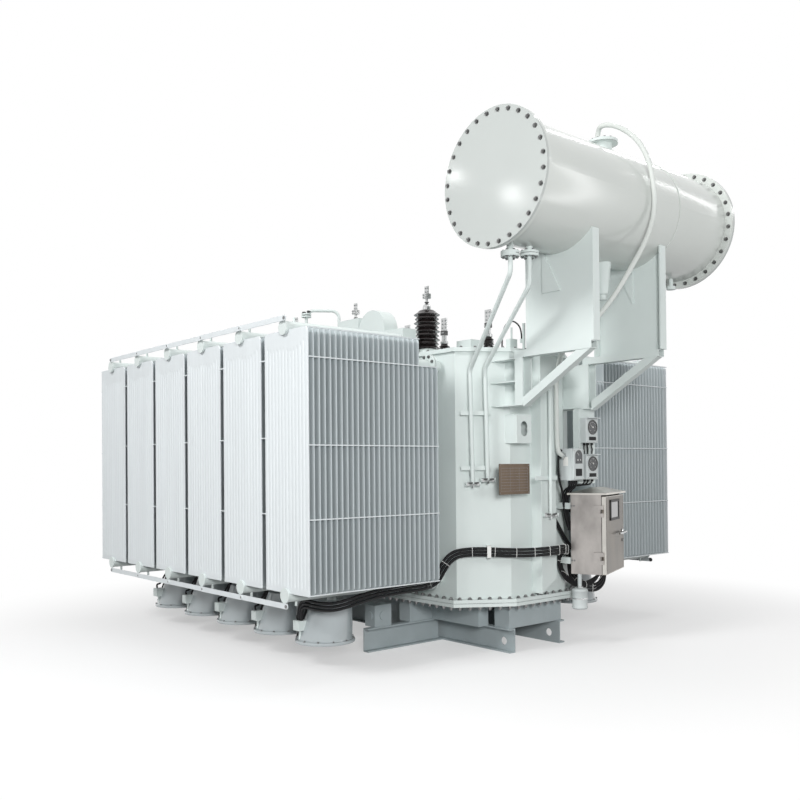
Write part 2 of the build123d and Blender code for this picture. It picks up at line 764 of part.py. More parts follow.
def build_roof():
    """A shallow hipped roof that overhangs the case."""
    x0, x1 = -ROOF_OVER, CAB_DEPTH + DOOR_GAP + DOOR_T + 16
    y0, y1 = -ROOF_OVER, CAB_W + ROOF_OVER
    z0 = CAB_Z[1]
    z1 = z0 + ROOF_SKIRT
    middle_x, middle_y = (x0 + x1) / 2, (y0 + y1) / 2
    base = Pos(middle_x, middle_y, z1) * Rectangle(x1 - x0, y1 - y0)
    crown = Pos(middle_x, middle_y, z1 + ROOF_RISE) * Rectangle((x1 - x0) * 0.12, (y1 - y0) * 0.4)
    return box(x0, x1, y0, y1, z0, z1) + loft([base, crown])


def build_handle(face_x):
    """A lever handle on a round rose."""
    y = CAB_W - 45
    rose = Pos(face_x + 5, y, HANDLE_Z) * Rot(0, 90, 0) * Cylinder(22, 10)
    stem = Pos(face_x + 20, y, HANDLE_Z) * Rot(0, 90, 0) * Cylinder(8, 20)
    lever = box(face_x + 26, face_x + 38, y - 105, y + 12, HANDLE_Z - 9, HANDLE_Z + 9)
    return rose + stem + lever


def build_arms():
    """Square bars from the tank to the back of the cabinet, two high and two low."""
    turn = math.radians(CAB_TURN)
    arms = []
    for y in CAB_ARM_Y:
        back_x = CAB_CORNER[0] - (y - CAB_CORNER[1]) * math.tan(turn)
        lean = CAB_ARM_HALF * math.tan(turn)
        outline = [
            (TANK_SHOULDER, y - CAB_ARM_HALF),
            (back_x + lean, y - CAB_ARM_HALF),
            (back_x - lean, y + CAB_ARM_HALF),
            (TANK_SHOULDER, y + CAB_ARM_HALF),
        ]
        for z in CAB_ARM_Z:
            low, high = z - CAB_ARM_HALF, z + CAB_ARM_HALF
            arms.append(prism(outline, low, high) - tank_core(low, high))
    return Compound(arms)


def build_sheds(foot, core, shed, count, pitch, shorter):
    """A turned porcelain column with thin sloping sheds, every second one shorter."""
    outline = [(0, foot), (core, foot)]
    for index in range(count):
        z = foot + index * pitch
        edge = shed - (index % 2) * shorter
        outline += [(core, z + 0.25 * pitch), (edge, z + 0.35 * pitch), (edge - 4, z + 0.5 * pitch)]
        outline += [(core, z + 0.8 * pitch)]
    head = foot + count * pitch
    outline += [(core, head), (0.5 * core, head + 0.5 * pitch), (0, head + 0.5 * pitch)]
    return turned(outline), head + 0.5 * pitch


def build_collar(edge, core, height):
    """The metal flange and collar between the cover and a bushing's porcelain."""
    foot = COVER_TOP
    outline = [(0, foot), (edge, foot), (edge, foot + 20), (core + 6, foot + 20)]
    outline += [(core, foot + 34), (core, foot + height), (0, foot + height)]
    return turned(outline)


def build_terminal(foot, cap_r, cap_h, stud_r, stud_h, plate_w, plate_h):
    """A domed metal cap with its stud, square clamp and upright connection plate."""
    outline = [(0, foot), (cap_r, foot), (cap_r, foot + 0.6 * cap_h), (0.7 * cap_r, foot + cap_h)]
    outline += [(stud_r, foot + cap_h), (stud_r, foot + cap_h + stud_h), (0, foot + cap_h + stud_h)]
    clamp_foot = foot + cap_h + stud_h
    half = 24
    terminal = turned(outline) + box(-half, half, -half, half, clamp_foot, clamp_foot + 42)
    top = clamp_foot + 42
    return terminal + box(-plate_w / 2, plate_w / 2, -5, 5, top, top + plate_h)


def build_bushings():
    """Both rows of bushings: metal collars, porcelain and metal tops."""
    parts = {"bushing_collars": [], "hv_bushings": [], "lv_bushings": [], "terminals": []}
    for x, y in HV_PLACES:
        at = Pos(x, y, 0)
        column, top = build_sheds(COVER_TOP + HV_FOOT, HV_CORE_R, HV_SHED_R, HV_SHEDS, HV_PITCH, 8)
        parts["bushing_collars"].append(at * build_collar(HV_SHED_R + 10, HV_CORE_R + 6, HV_FOOT))
        parts["hv_bushings"].append(at * column)
        parts["terminals"].append(at * build_terminal(top, HV_CAP_R, 52, 11, 40, 44, 62))
    for x, y in LV_PLACES:
        at = Pos(x, y, 0)
        column, top = build_sheds(COVER_TOP + LV_FOOT, LV_CORE_R, LV_SHED_R, LV_SHEDS, LV_PITCH, 4)
        parts["bushing_collars"].append(at * build_collar(LV_SHED_R + 14, LV_CORE_R + 8, LV_FOOT))
        parts["lv_bushings"].append(at * column)
        parts["terminals"].append(at * build_terminal(top, 36, 24, 24, 54, 74, 118))
    return {name: Compound(pieces) for name, pieces in parts.items()}


def build_hood():
    """The long cover over the tap changer: a box, an arched box and a lower box."""
    y0, y1 = HOOD_Y
    arch_x0 = HOOD_ARCH_X - HOOD_ARCH_R
    arch_x1 = HOOD_ARCH_X + HOOD_ARCH_R
    hood = box(HOOD_BOX_X[0], HOOD_BOX_X[1], y0, y1, COVER_TOP, HOOD_BOX_TOP)
    hood += box(arch_x0, arch_x1, y0, y1, COVER_TOP, HOOD_SPRING)
    hood += cylinder_y(HOOD_ARCH_X, y0, y1, HOOD_SPRING, HOOD_ARCH_R)
    return hood + box(arch_x1, HOOD_END_X, y0, y1, COVER_TOP, HOOD_END_TOP)


def build_cover_fittings():
    """The relay box, the relief valve, a guard post and a gland along the cover's middle."""
    top = COVER_TOP
    relay = box(1053, 1222, -75, 75, top, top + 160) + box(1040, 1235, -88, 88, top, top + 14)
    valve = box(1581, 1628, -40, 40, top, top + 120) + cylinder_z(1604, 0, top + 119, top + 215, 8)
    post = cylinder_z(GUARD_X, 0, top, top + GUARD_H, 12) + cylinder_z(GUARD_X, 0, top, top + 12, 32)
    post += cylinder_z(GLAND_X[1], 0, top + GLAND_H[1] - 30, top + GLAND_H[1], 13)
    gland = cylinder_z(GLAND_X[0], 0, top, top + GLAND_H[0], 14)
    return Compound([relay, valve, post, gland])


def build_vent_loop():
    """The pressure equalising pipe: up from the cover, over, and down again through a valve."""
    start, finish = VENT_LEGS
    route = [(*start, COVER_TOP), (*start, VENT_TOP), (*finish, VENT_TOP), (*finish, COVER_TOP)]
    loop = tube(route, VENT_R, [VENT_BEND_R, VENT_BEND_R])
    for x, y in VENT_LEGS:
        loop += cylinder_z(x, y, COVER_TOP, COVER_TOP + VENT_R, 2.4 * VENT_R)
    for z in VENT_VALVE_Z:
        loop += cylinder_z(*start, z, z + VENT_R, VENT_VALVE_R)
    return loop


def on_chamfer(shape):
    """Places a shape drawn against the near chamfer: X out of the wall, Y along it."""
    angle = -math.degrees(math.atan(WALL_SLOPE))
    return Pos(TANK_SHOULDER, -TANK_HALF_W, 0) * Rot(0, 0, angle) * shape


def build_tap(x, y, z):
    """A small drain cock: a cross bar with a disc at each end, turned to face the chamfer."""
    bar = Rot(90, 0, 0) * Cylinder(8, 104)
    disc = Rot(90, 0, 0) * Cylinder(17, 6)
    tap = bar + Pos(0, 52, 0) * disc + Pos(0, -52, 0) * disc
    angle = -math.degrees(math.atan(WALL_SLOPE))
    return Pos(x, y, z) * Rot(0, 0, angle) * tap


def build_oil_pipe(route, flange_z):
    """A pipe from the vessel down the tank's corner, with its neck, flanges and drain cock."""
    x, y, _ = route[0]
    foot = VESSEL_Z - VESSEL_R
    pipe = tube(route, OIL_PIPE_R, [OIL_BEND_R] * (len(route) - 2))
    pipe += cylinder_z(x, y, flange_z, foot + 30, OIL_NECK_R)
    pipe += cylinder_z(x, y, flange_z - OIL_FLANGE_T, flange_z + OIL_FLANGE_T, OIL_FLANGE_R)
    pipe += build_tap(*route[-1])
    return pipe - cylinder_y(x, VESSEL_Y[0], VESSEL_Y[1], VESSEL_Z, VESSEL_R)


def build_pipes():
    """Oil pipes, the small pipe on the end rib and the breather with its canister."""
    x = VESSEL_X
    foot = VESSEL_Z - VESSEL_R
    first = [(x, -912, foot), (x, -908, 2679), (1735, -598, 2116), (1743, -586, 1273)]
    second = [(x, -722, foot), (x, -726, 2615), (1799, -505, 2131), (1807, -493, 1301)]
    rib_face = TANK_HALF_L + RIB_DEPTH
    drain = tube([(rib_face, -20, 2050), (2005, -20, 2050), (2005, -20, 1030)], END_PIPE_R, [30])
    drain += build_tap(2005, -20, 1030)
    return {
        "oil_pipes": Compound([build_oil_pipe(first, 2796), build_oil_pipe(second, 2825), drain]),
        "breather_pipe": build_breather(),
        "breather_canister": build_canister(),
    }


def build_breather():
    """The breather: over the vessel, between the saddles and down the tank's end."""
    top = VESSEL_Z + VESSEL_R + NECK_H + NECK_FLANGE_T
    route = [
        (2415, 60, top),
        (2415, 60, 3838),
        (2480, 20, 3862),
        (2570, 50, 3842),
        (2665, 95, 3772),
        (2755, 102, 3665),
        (2835, 88, 3510),
        (2864, 90, 3345),
        (2866, 97, 3195),
        (2848, 78, 3060),
        (2808, 40, 2925),
        (2742, -10, 2780),
        (2675, -95, 2600),
        (2590, -170, 2450),
        (2440, -205, 2330),
        (2270, -160, 2265),
        (2100, -30, 2180),
        (2010, 51, 2030),
        (2010, 52, 520),
        (2045, 265, 518),
        (2045, 265, CANISTER_Z[1] + 20),
    ]
    radii = half_turn(route)
    radii[0] = 30
    radii[-3] = 250
    radii[-2] = 80
    radii[-1] = 36
    print("breather bend radii", [round(r) for r in radii])
    return tube(route, BREATHER_R, radii)


def build_canister():
    """The drying canister: a glass body between two metal rims, with a foot valve."""
    z0, z1 = CANISTER_Z
    r = CANISTER_R
    outline = [(0, z0), (r - 20, z0), (r, z0 + 12), (r, z0 + 26), (r - 5, z0 + 28), (r - 5, z1 - 28)]
    outline += [(r, z1 - 26), (r, z1 - 8), (r - 20, z1), (24, z1), (24, z1 + 20), (0, z1 + 20)]
    return turned(outline, (2045, 265, 0))


def upright_normal(run, beside):
    """A unit vector square to a run, as near upright as it can be."""
    upright = Vector(0, 0, 1) - run * run.Z
    if upright.length < 0.01:
        upright = Vector(-beside.X, -beside.Y, 0)
    return upright.normalized()


def beside_route(points, shift):
    """The same route moved by a shift in the plane that stands upright along it."""
    corners = [Vector(*point) for point in points]
    runs = [(b - a).normalized() for a, b in zip(corners, corners[1:])]
    others = runs[1:2] + runs[:-1]
    normals = [upright_normal(run, other) for run, other in zip(runs, others)]
    before = normals[:1] + normals
    after = normals + normals[-1:]
    moved = []
    for corner, a, b in zip(corners, before, after):
        moved.append(tuple(corner + (a + b) * (shift / (1 + a.dot(b)))))
    return moved


def build_cables():
    """Three cables from the first fan's box round the tank's corner to the cabinet's foot."""
    route = [
        (1108, -1698, FAN_BOX_Z + FAN_BOX),
        (1108, -1698, 385),
        (1146, -1700, 438),
        (1222, -1705, 449),
        (1360, -1702, 442),
        (1545, -1680, 462),
        (1553, -1400, 518),
        (1549, -1120, 530),
        (1558, -815, 538),
        (1592, -765, 650),
        (1640, -708, 752),
        (1710, -602, 772),
        (1793, -478, 768),
        (1890, -346, 758),
        (1992, -200, 757),
        (2046, -60, 765),
        (2044, 90, 768),
        (1988, 175, 764),
        (1928, 262, 742),
        (1898, 322, 650),
        (1893, 352, 545),
        (1925, 412, 466),
        (1958, 482, 428),
        (1980, 560, 426),
        (1986, 622, 460),
        (1984, 645, 512),
        (1984, 645, CAB_Z[0]),
    ]
    cables = []
    for index in range(CABLES):
        points = beside_route(route, (index - 1) * CABLE_PITCH)
        print("cable bend radii", [round(r) for r in half_turn(points)])
        cables.append(tube(points, CABLE_R))
    x0, x1 = GLAND_X
    foot, head = COVER_TOP + GLAND_H[0], COVER_TOP + GLAND_H[1]
    arc = [(x0, foot), (x0, 2440), (1530, 2530), (1610, 2562), (1685, 2515), (x1, 2450), (x1, head)]
    arc = [(x, 0, z) for x, z in arc]
    print("cover cable bend radii", [round(r) for r in half_turn(arc)])
    cables.append(tube(arc, 6))
    return Compound(cables)


def build_gauges():
    """Two dial gauges with their housings, and the relay beside them."""
    face = GAUGE_PLATE[1]
    y0, y1 = GAUGE_Y
    pieces = []
    for foot in GAUGE_LEVELS:
        body = box(face, GAUGE_FACE, y0, y1, foot, foot + GAUGE_H)
        hood = box(GAUGE_FACE, GAUGE_FACE + 24, y0, y1, foot + GAUGE_H - 8, foot + GAUGE_H)
        bezel = Rot(0, 90, 0) * Cylinder(DIAL_R, DIAL_DEPTH)
        at = Pos(GAUGE_FACE + DIAL_DEPTH / 2, (y0 + y1) / 2, foot + GAUGE_H - 76)
        pieces.append(body + hood + at * bezel)
    y0, y1 = RELAY_Y
    z0, z1 = RELAY_Z
    relay = box(RELAY_X, GAUGE_FACE, y0, y1, z0, z1)
    relay -= box(GAUGE_FACE - 6, GAUGE_FACE, y0 + 30, y1 - 30, z1 - 110, z1 - 40)
    relay -= Pos(GAUGE_FACE - 3, (y0 + y1) / 2, z1 - 40) * Rot(0, 90, 0) * Cylinder((y1 - y0) / 2 - 30, 6)
    pieces.append(relay)
    return Compound(pieces)


def build_gauge_plate():
    """The folded plate under the far post that carries the gauges."""
    x0, x1 = GAUGE_PLATE
    y0, y1 = GAUGE_PLATE_Y
    z0, z1 = GAUGE_PLATE_Z
    plate = box(x0, x1, y0, y1, z0, z1)
    for y in (y0, y1 - 5):
        plate += box(x0 - GAUGE_RETURN, x0, y, y + 5, z0, z1)
    return plate


def build_brackets():
    """Flat bars and small brackets that hold pipes, cables, the relay and the nameplate."""
    pieces = []
    bar_back = 37
    for z in CLAMP_LEVELS:
        low, high = z - CLAMP_H / 2, z + CLAMP_H / 2
        bar = box(bar_back, bar_back + CLAMP_T, 33, 268, low, high)
        for y in (70, 205):
            bar += box(0, bar_back, y, y + 8, low, high)
        pieces.append(on_chamfer(bar))
    pieces.append(on_chamfer(box(0, 27, 222, 250, 720, 816)))
    rib_face = TANK_HALF_L + RIB_DEPTH
    bar = box(1985, 1991, -175, 75, 1294, 1326) + box(rib_face, 1985, 0, 12, 1294, 1326)
    pieces.append(bar)
    pieces.append(box(TANK_HALF_L, RELAY_X, 150, 260, 1350, 1450))
    pieces.append(box(TANK_HALF_L, NAMEPLATE_X[0], -280, -200, 1240, 1380))
    return Compound(pieces)


def build_hauling_lugs():
    """Folded plates with an oval hole, on both ends of the tank."""
    low, high = LUG_Z
    wall = LUG_WALL
    x1 = TANK_HALF_L + RIB_DEPTH
    y0, y1 = LUG_Y
    lug = box(TANK_SHOULDER, x1, y0, y1, low, high)
    lug -= box(TANK_SHOULDER, x1 - wall, y0 + wall, y1 - wall, low + wall, high - wall)
    middle_y, middle_z = (y0 + y1) / 2, (low + high) / 2
    slot = Pos(x1, middle_y, middle_z) * Rot(0, 90, 0) * Cylinder(LUG_HOLE_R, 4 * wall)
    for z in (-18, 18):
        lug -= Pos(0, 0, z) * slot
    lug -= tank_core(low, high)
    return both_ends([lug])


def build_fittings():
    """Gauges, brackets, lugs, the nameplate and the cables."""
    return {
        "gauge_plate": build_gauge_plate(),
        "gauges": build_gauges(),
        "wall_brackets": build_brackets(),
        "hauling_lugs": build_hauling_lugs(),
        "nameplate": box(*NAMEPLATE_X, NAMEPLATE_Y, NAMEPLATE_Y + NAMEPLATE_W, *NAMEPLATE_Z),
        "cables": build_cables(),
        "cover_hood": build_hood(),
        "cover_fittings": build_cover_fittings(),
        "vent_loop": build_vent_loop(),
    }


def build_all():
    """Every node of the transformer."""
    parts = {}
    parts.update(build_base())
    parts.update(build_tank())
    parts.update(build_banks())
    parts.update(build_vessel())
    parts.update(build_support())
    parts.update(build_cabinet())
    parts.update(build_bushings())
    parts.update(build_pipes())
    parts.update(build_fittings())
    return parts


MIDDLE_X = (VESSEL_X + VESSEL_FLANGE_R - TANK_HALF_L - RIM) / 2

os.makedirs("parts", exist_ok=True)
for name, shape in build_all().items():
    export_step(Pos(-MIDDLE_X, 0, 0) * shape, f"parts/{name}.step")
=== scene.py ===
import random
from math import atan, copysign, cos, dist, hypot, pi, radians, sin

import bpy
from mathutils import Matrix, Vector


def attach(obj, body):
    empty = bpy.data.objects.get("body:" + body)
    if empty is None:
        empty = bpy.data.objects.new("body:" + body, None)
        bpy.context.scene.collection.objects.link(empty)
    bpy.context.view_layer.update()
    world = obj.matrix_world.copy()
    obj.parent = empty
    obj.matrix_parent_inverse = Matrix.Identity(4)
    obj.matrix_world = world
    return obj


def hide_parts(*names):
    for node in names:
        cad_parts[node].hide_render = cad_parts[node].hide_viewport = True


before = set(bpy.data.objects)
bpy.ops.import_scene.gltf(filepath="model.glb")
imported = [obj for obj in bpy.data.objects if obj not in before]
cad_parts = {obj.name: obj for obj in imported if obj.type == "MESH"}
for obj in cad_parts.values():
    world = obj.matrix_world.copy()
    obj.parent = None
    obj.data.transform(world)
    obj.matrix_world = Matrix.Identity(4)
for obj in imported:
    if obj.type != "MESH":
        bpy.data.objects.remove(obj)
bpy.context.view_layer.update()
random.seed(7)

# Camera at the photograph's viewpoint, in metres and degrees
CAMERA_AT = Vector((5.8989, -5.2124, 1.4094))
CAMERA_YAW = 49.817
CAMERA_PITCH = 0.672
CAMERA_ROLL = -0.504
FOCAL_PX = 883.37
FRAME_PX = 800
CENTRE_PX = (399.1, 455.8)
SENSOR_MM = 36.0

# Sizes below are millimetres from the middle of the tank, as in the part's source
MIDDLE_X = 479.0
TO_FRAME = Matrix.Diagonal((0.001, 0.001, 0.001, 1)) @ Matrix.Translation((-MIDDLE_X, 0, 0))

# The tank's half length and half width, and where its cut corners start along each
TANK_X, TANK_Y, SHOULDER, END_Y = 1860, 650, 1627, 308
CORNER_ANGLE = atan((TANK_X - SHOULDER) / (TANK_Y - END_Y))
RIM_FOOT, RIM_TOP = 365, 418
COVER_TOP = 2290

# The expansion vessel: its axis, its covers' outer faces, its flanged neck and the drains below
VESSEL_X, VESSEL_Z = 2434, 3273
VESSEL_ENDS = (-1067, 1127)
VESSEL_FLANGES = 42
NECK_Y, NECK_TOP = 95, 3772
DRAINS = ((-910, 2796), (-724, 2825))

# Radiators: their places along the tank, the fans' places between them, header levels and panels
PITCH = 574
PLACES = [PITCH * (2.5 - i) for i in range(6)]
FAN_PLACES = [PITCH * (2 - i) for i in range(5)]
HEADER_LEVELS = (562, 2165)
PANELS, SHORT_PANELS, PANEL_STEP = 26, 4, 45
PANEL_HALF, PANEL_T, FLUTES = 260, 10, 13
PANEL_FOOT, PANEL_HEAD, SHORT_HEAD = 578, 2315, 2122
BANK_FACE = 2018

# On the cover: the two rows of bushings and the vent loop's feet
HIGH_X, HIGH_Y = (990, 30, -930), -350
LOW_X, LOW_Y = (1011, 450, -65), 350
VENT_FEET = ((-394, -600), (-226, -350))


def add_object(name, data):
    """Puts a new object into the scene."""
    made = bpy.data.objects.new(name, data)
    bpy.context.scene.collection.objects.link(made)
    return made


def make_camera():
    """A camera at the photograph's place, level to within a degree, with its frame shifted up."""
    yaw, pitch, roll = (radians(a) for a in (CAMERA_YAW, CAMERA_PITCH, CAMERA_ROLL))
    ahead = Vector((-sin(yaw) * cos(pitch), cos(yaw) * cos(pitch), sin(pitch)))
    level = Vector((cos(yaw), sin(yaw), 0))
    above = level.cross(ahead)
    right = level * cos(roll) + above * sin(roll)
    up = -level * sin(roll) + above * cos(roll)
    data = bpy.data.cameras.new("camera")
    data.sensor_width = SENSOR_MM
    data.lens = FOCAL_PX * SENSOR_MM / FRAME_PX
    data.shift_x = (FRAME_PX / 2 - CENTRE_PX[0]) / FRAME_PX
    data.shift_y = (CENTRE_PX[1] - FRAME_PX / 2) / FRAME_PX
    data.clip_end = 200
    camera = add_object("camera", data)
    turn = Matrix((right, up, -ahead)).transposed().to_4x4()
    camera.matrix_world = Matrix.Translation(CAMERA_AT) @ turn
    bpy.context.scene.camera = camera


# Materials


def set_inputs(node, values):
    """Sets a shader node's own sockets."""
    for name, value in values.items():
        node.inputs[name].default_value = value


def material(name, colour, rough, metal=0.0, vary=0.06, scale=3.0, rough_vary=0.08, stretch=(1, 1, 1),
             bump=0.0, bump_scale=120.0, coat=0.0, gloss=0.5):
    """A shader whose colour, gloss and surface all vary a little, by noise in the object's own space."""
    made = bpy.data.materials.new(name)
    made.use_nodes = True
    tree = made.node_tree
    link = tree.links.new
    shader = tree.nodes["Principled BSDF"]
    set_inputs(shader, {"Metallic": metal, "Coat Weight": coat, "Specular IOR Level": gloss})
    place = tree.nodes.new("ShaderNodeTexCoord")
    scaled = tree.nodes.new("ShaderNodeMapping")
    set_inputs(scaled, {"Scale": stretch})
    link(place.outputs["Object"], scaled.inputs["Vector"])
    noise = tree.nodes.new("ShaderNodeTexNoise")
    set_inputs(noise, {"Scale": scale, "Detail": 4})
    link(scaled.outputs["Vector"], noise.inputs["Vector"])
    ramp = tree.nodes.new("ShaderNodeValToRGB")
    dark, light = ramp.color_ramp.elements
    dark.position = 0.3
    light.position = 0.7
    dark.color = (*(c * (1 - vary) for c in colour), 1)
    light.color = (*(min(1, c * (1 + vary)) for c in colour), 1)
    link(noise.outputs["Fac"], ramp.inputs["Fac"])
    link(ramp.outputs["Color"], shader.inputs["Base Color"])
    spread = tree.nodes.new("ShaderNodeMapRange")
    set_inputs(spread, {"To Min": max(0.02, rough - rough_vary), "To Max": rough + rough_vary})
    link(noise.outputs["Fac"], spread.inputs["Value"])
    link(spread.outputs["Result"], shader.inputs["Roughness"])
    if bump:
        grain = tree.nodes.new("ShaderNodeTexNoise")
        set_inputs(grain, {"Scale": bump_scale, "Detail": 2})
        link(scaled.outputs["Vector"], grain.inputs["Vector"])
        raised = tree.nodes.new("ShaderNodeBump")
        set_inputs(raised, {"Strength": bump, "Distance": 0.002})
        link(grain.outputs["Fac"], raised.inputs["Height"])
        link(raised.outputs["Normal"], shader.inputs["Normal"])
    return made


PAINT = material("tank_paint", (0.66, 0.72, 0.705), 0.38, vary=0.045, scale=1.6, bump=0.12, bump_scale=60,
                 gloss=0.3)
PANEL = material("panel_paint", (0.68, 0.72, 0.735), 0.42, vary=0.03, scale=2.2, stretch=(6, 6, 0.4),
                 bump=0.1, gloss=0.2)
# The radiator paint made darker for the inner panels: painted shade for the gaps deep in each bank
SHADED_PANEL = material("inner_panel_painted_shade", (0.50, 0.55, 0.565), 0.45, vary=0.04, scale=2.2, stretch=(6, 6, 0.4),
                 bump=0.1, gloss=0.2)
BASE = material("base_paint", (0.40, 0.455, 0.47), 0.42, vary=0.08, scale=4, bump=0.15, bump_scale=80,
                gloss=0.3)
FAN = material("fan_paint", (0.43, 0.475, 0.49), 0.16, vary=0.05, scale=5, rough_vary=0.05, bump=0.5,
               bump_scale=14, coat=0.8)
VESSEL_PAINT = material("vessel_paint", (0.62, 0.65, 0.625), 0.18, vary=0.02, scale=1.2, gloss=0.6)
# The vessel's paint made darker for its end covers: painted shade that dims the lit covers
SHADED_COVER_PAINT = material("vessel_cover_painted_shade", (0.485, 0.515, 0.50), 0.13, vary=0.02, scale=1.2, gloss=0.5)
CAST = material("cast_housing", (0.56, 0.60, 0.60), 0.45, vary=0.05, scale=12, bump=0.3, bump_scale=260)
PORCELAIN = material("brown_glaze", (0.012, 0.009, 0.009), 0.12, vary=0.3, scale=9, rough_vary=0.04, coat=0.4)
STEEL = material("brushed_steel", (0.46, 0.435, 0.415), 0.34, 1.0, vary=0.34, scale=2.6, stretch=(2, 2, 1.1),
                 rough_vary=0.10, bump=0.06, bump_scale=400)
# The case's steel made far darker for the door: painted shade, standing in for the dark surroundings that the
# door's metal mirrors
SHADED_DOOR_STEEL = material("door_steel_painted_shade", (0.155, 0.136, 0.115), 0.30, 1.0, vary=0.45, scale=2.0, stretch=(2, 2, 0.9),
                rough_vary=0.10, bump=0.05, bump_scale=300)
ROOF = material("roof_steel", (0.66, 0.64, 0.60), 0.42, 1.0, vary=0.10, scale=4, bump=0.06, bump_scale=300)
BRIGHT = material("bright_metal", (0.62, 0.63, 0.63), 0.28, 1.0, vary=0.1, scale=30)
BOLT = material("plated_bolt", (0.25, 0.25, 0.25), 0.36, 1.0, vary=0.25, scale=60)
DARK_METAL = material("dark_metal", (0.10, 0.10, 0.10), 0.4, 0.6, vary=0.2, scale=40)
BRASS = material("nameplate_metal", (0.135, 0.102, 0.076), 0.30, 0.9, vary=0.30, scale=1.6,
                 stretch=(1, 3, 0.3))
RUBBER = material("black_rubber", (0.012, 0.012, 0.013), 0.42, vary=0.2, scale=25, gloss=0.2)
GASKET = material("gasket", (0.03, 0.03, 0.03), 0.7, vary=0.2, scale=30)
TIE = material("white_tie", (0.75, 0.76, 0.74), 0.4, vary=0.03, scale=40)
DIAL = material("dial_white", (0.80, 0.80, 0.77), 0.5, vary=0.02, scale=20)
INK = material("dial_ink", (0.02, 0.02, 0.02), 0.5, vary=0.1, scale=40)
GLASS = material("dark_glass", (0.035, 0.040, 0.045), 0.08, vary=0.3, scale=6, rough_vary=0.04, coat=0.8)


# Mesh tools


def bands(rings, count, closed=False):
    """Four-sided faces between neighbouring rings of as many points each."""
    faces = []
    for ring in range(rings if closed else rings - 1):
        above = (ring + 1) % rings
        for i in range(count):
            j = (i + 1) % count
            faces.append((ring * count + i, ring * count + j, above * count + j, above * count + i))
    return faces


class Maker:
    """Collects faces in millimetres of the tank's frame, then makes one object that rides a body."""

    def __init__(self, name, *materials):
        self.name = name
        self.materials = materials
        self.points = []
        self.faces = []
        self.slots = []
        self.smooth = []
        self.place = Matrix.Identity(4)
        self.slot = 0

    def use(self, used):
        """Chooses the material of the faces that are added next."""
        self.slot = self.materials.index(used)

    def add(self, points, faces, smooth=False):
        """Takes in points, moved by the place in use, and the faces between them."""
        start = len(self.points)
        self.points += [self.place @ Vector(point) for point in points]
        self.faces += [[start + i for i in face] for face in faces]
        self.slots += [self.slot] * len(faces)
        self.smooth += [smooth] * len(faces)

    def box(self, x0, x1, y0, y1, z0, z1):
        """A block between two corners."""
        points = [(x, y, z) for x in (x0, x1) for y in (y0, y1) for z in (z0, z1)]
        faces = [(0, 1, 3, 2), (4, 6, 7, 5), (0, 4, 5, 1), (2, 3, 7, 6), (0, 2, 6, 4), (1, 5, 7, 3)]
        self.add(points, faces)

    def rod(self, a, b, r, sides=12, r_end=None, smooth=None, turn=0.0):
        """A round or many-sided bar between two points, closed at both ends."""
        a, b = Vector(a), Vector(b)
        r_end = r if r_end is None else r_end
        along = (b - a).normalized()
        side = along.orthogonal().normalized()
        other = along.cross(side)
        angles = [turn + 2 * pi * i / sides for i in range(sides)]
        ring = [side * cos(t) + other * sin(t) for t in angles]
        points = [a + d * r for d in ring] + [b + d * r_end for d in ring]
        walls = [(i, (i + 1) % sides, sides + (i + 1) % sides, sides + i) for i in range(sides)]
        smooth = sides > 8 if smooth is None else smooth
        self.add(points, walls, smooth)
        start = len(self.points) - len(points)
        self.faces += [[start + i for i in reversed(range(sides))], [start + sides + i for i in range(sides)]]
        self.slots += [self.slot] * 2
        self.smooth += [False] * 2

    def lathe(self, outline, at, sides=48, axis="z"):
        """A turned body from (radius, height) points, open where its ends aren't on the axis."""
        points = []
        for r, h in outline:
            for i in range(sides):
                t = 2 * pi * i / sides
                a, b = r * cos(t), r * sin(t)
                spot = {"x": (h, a, b), "y": (b, h, a), "z": (a, b, h)}[axis]
                points.append(Vector(spot) + Vector(at))
        self.add(points, bands(len(outline), sides), True)

    def bolt(self, at, along, r, head):
        """A hexagon head on a washer, pointing along a direction."""
        at, along = Vector(at), Vector(along).normalized()
        start = at + along * 3
        self.rod(at, start, r * 1.45, 14)
        self.rod(start, start + along * head, r, 6, turn=random.random())

    def sweep(self, points, r, sides=10, closed=False):
        """A round bar through many points, with upright rings."""
        points = [Vector(p) for p in points]
        rings = []
        side = None
        for i, point in enumerate(points):
            before = points[i - 1] if i or closed else point
            after = points[(i + 1) % len(points)] if i < len(points) - 1 or closed else point
            along = (after - before).normalized()
            if side is None:
                side = along.orthogonal().normalized()
            side = (side - along * side.dot(along)).normalized()
            other = along.cross(side)
            rings.append([point + (side * cos(t) + other * sin(t)) * r
                          for t in (2 * pi * k / sides for k in range(sides))])
        faces = bands(len(rings), sides, closed)
        if not closed:
            faces.append(tuple(reversed(range(sides))))
            faces.append(tuple((len(rings) - 1) * sides + i for i in range(sides)))
        self.add([p for ring in rings for p in ring], faces, True)

    def wire(self, route, r, sides=10):
        """A round bar along the smooth line that a route's points steer."""
        self.sweep(spline_points(route), r, sides)

    def make(self, body="transformer", stands_for=(), bevel=0.0):
        """Makes the object, in metres, and says what it rides, wears and stands for."""
        mesh = bpy.data.meshes.new(self.name)
        mesh.from_pydata([TO_FRAME @ point for point in self.points], [], self.faces)
        for used in self.materials:
            mesh.materials.append(used)
        mesh.polygons.foreach_set("material_index", self.slots)
        mesh.polygons.foreach_set("use_smooth", self.smooth)
        mesh.validate()
        mesh.update()
        made = add_object(self.name, mesh)
        if bevel:
            soft = made.modifiers.new("edges", "BEVEL")
            soft.width = bevel / 1000
            soft.segments = 2
            soft.limit_method = "ANGLE"
            soft.angle_limit = radians(40)
        made.data.set_sharp_from_angle(angle=radians(38))
        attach(made, body)
        if stands_for:
            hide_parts(*stands_for)


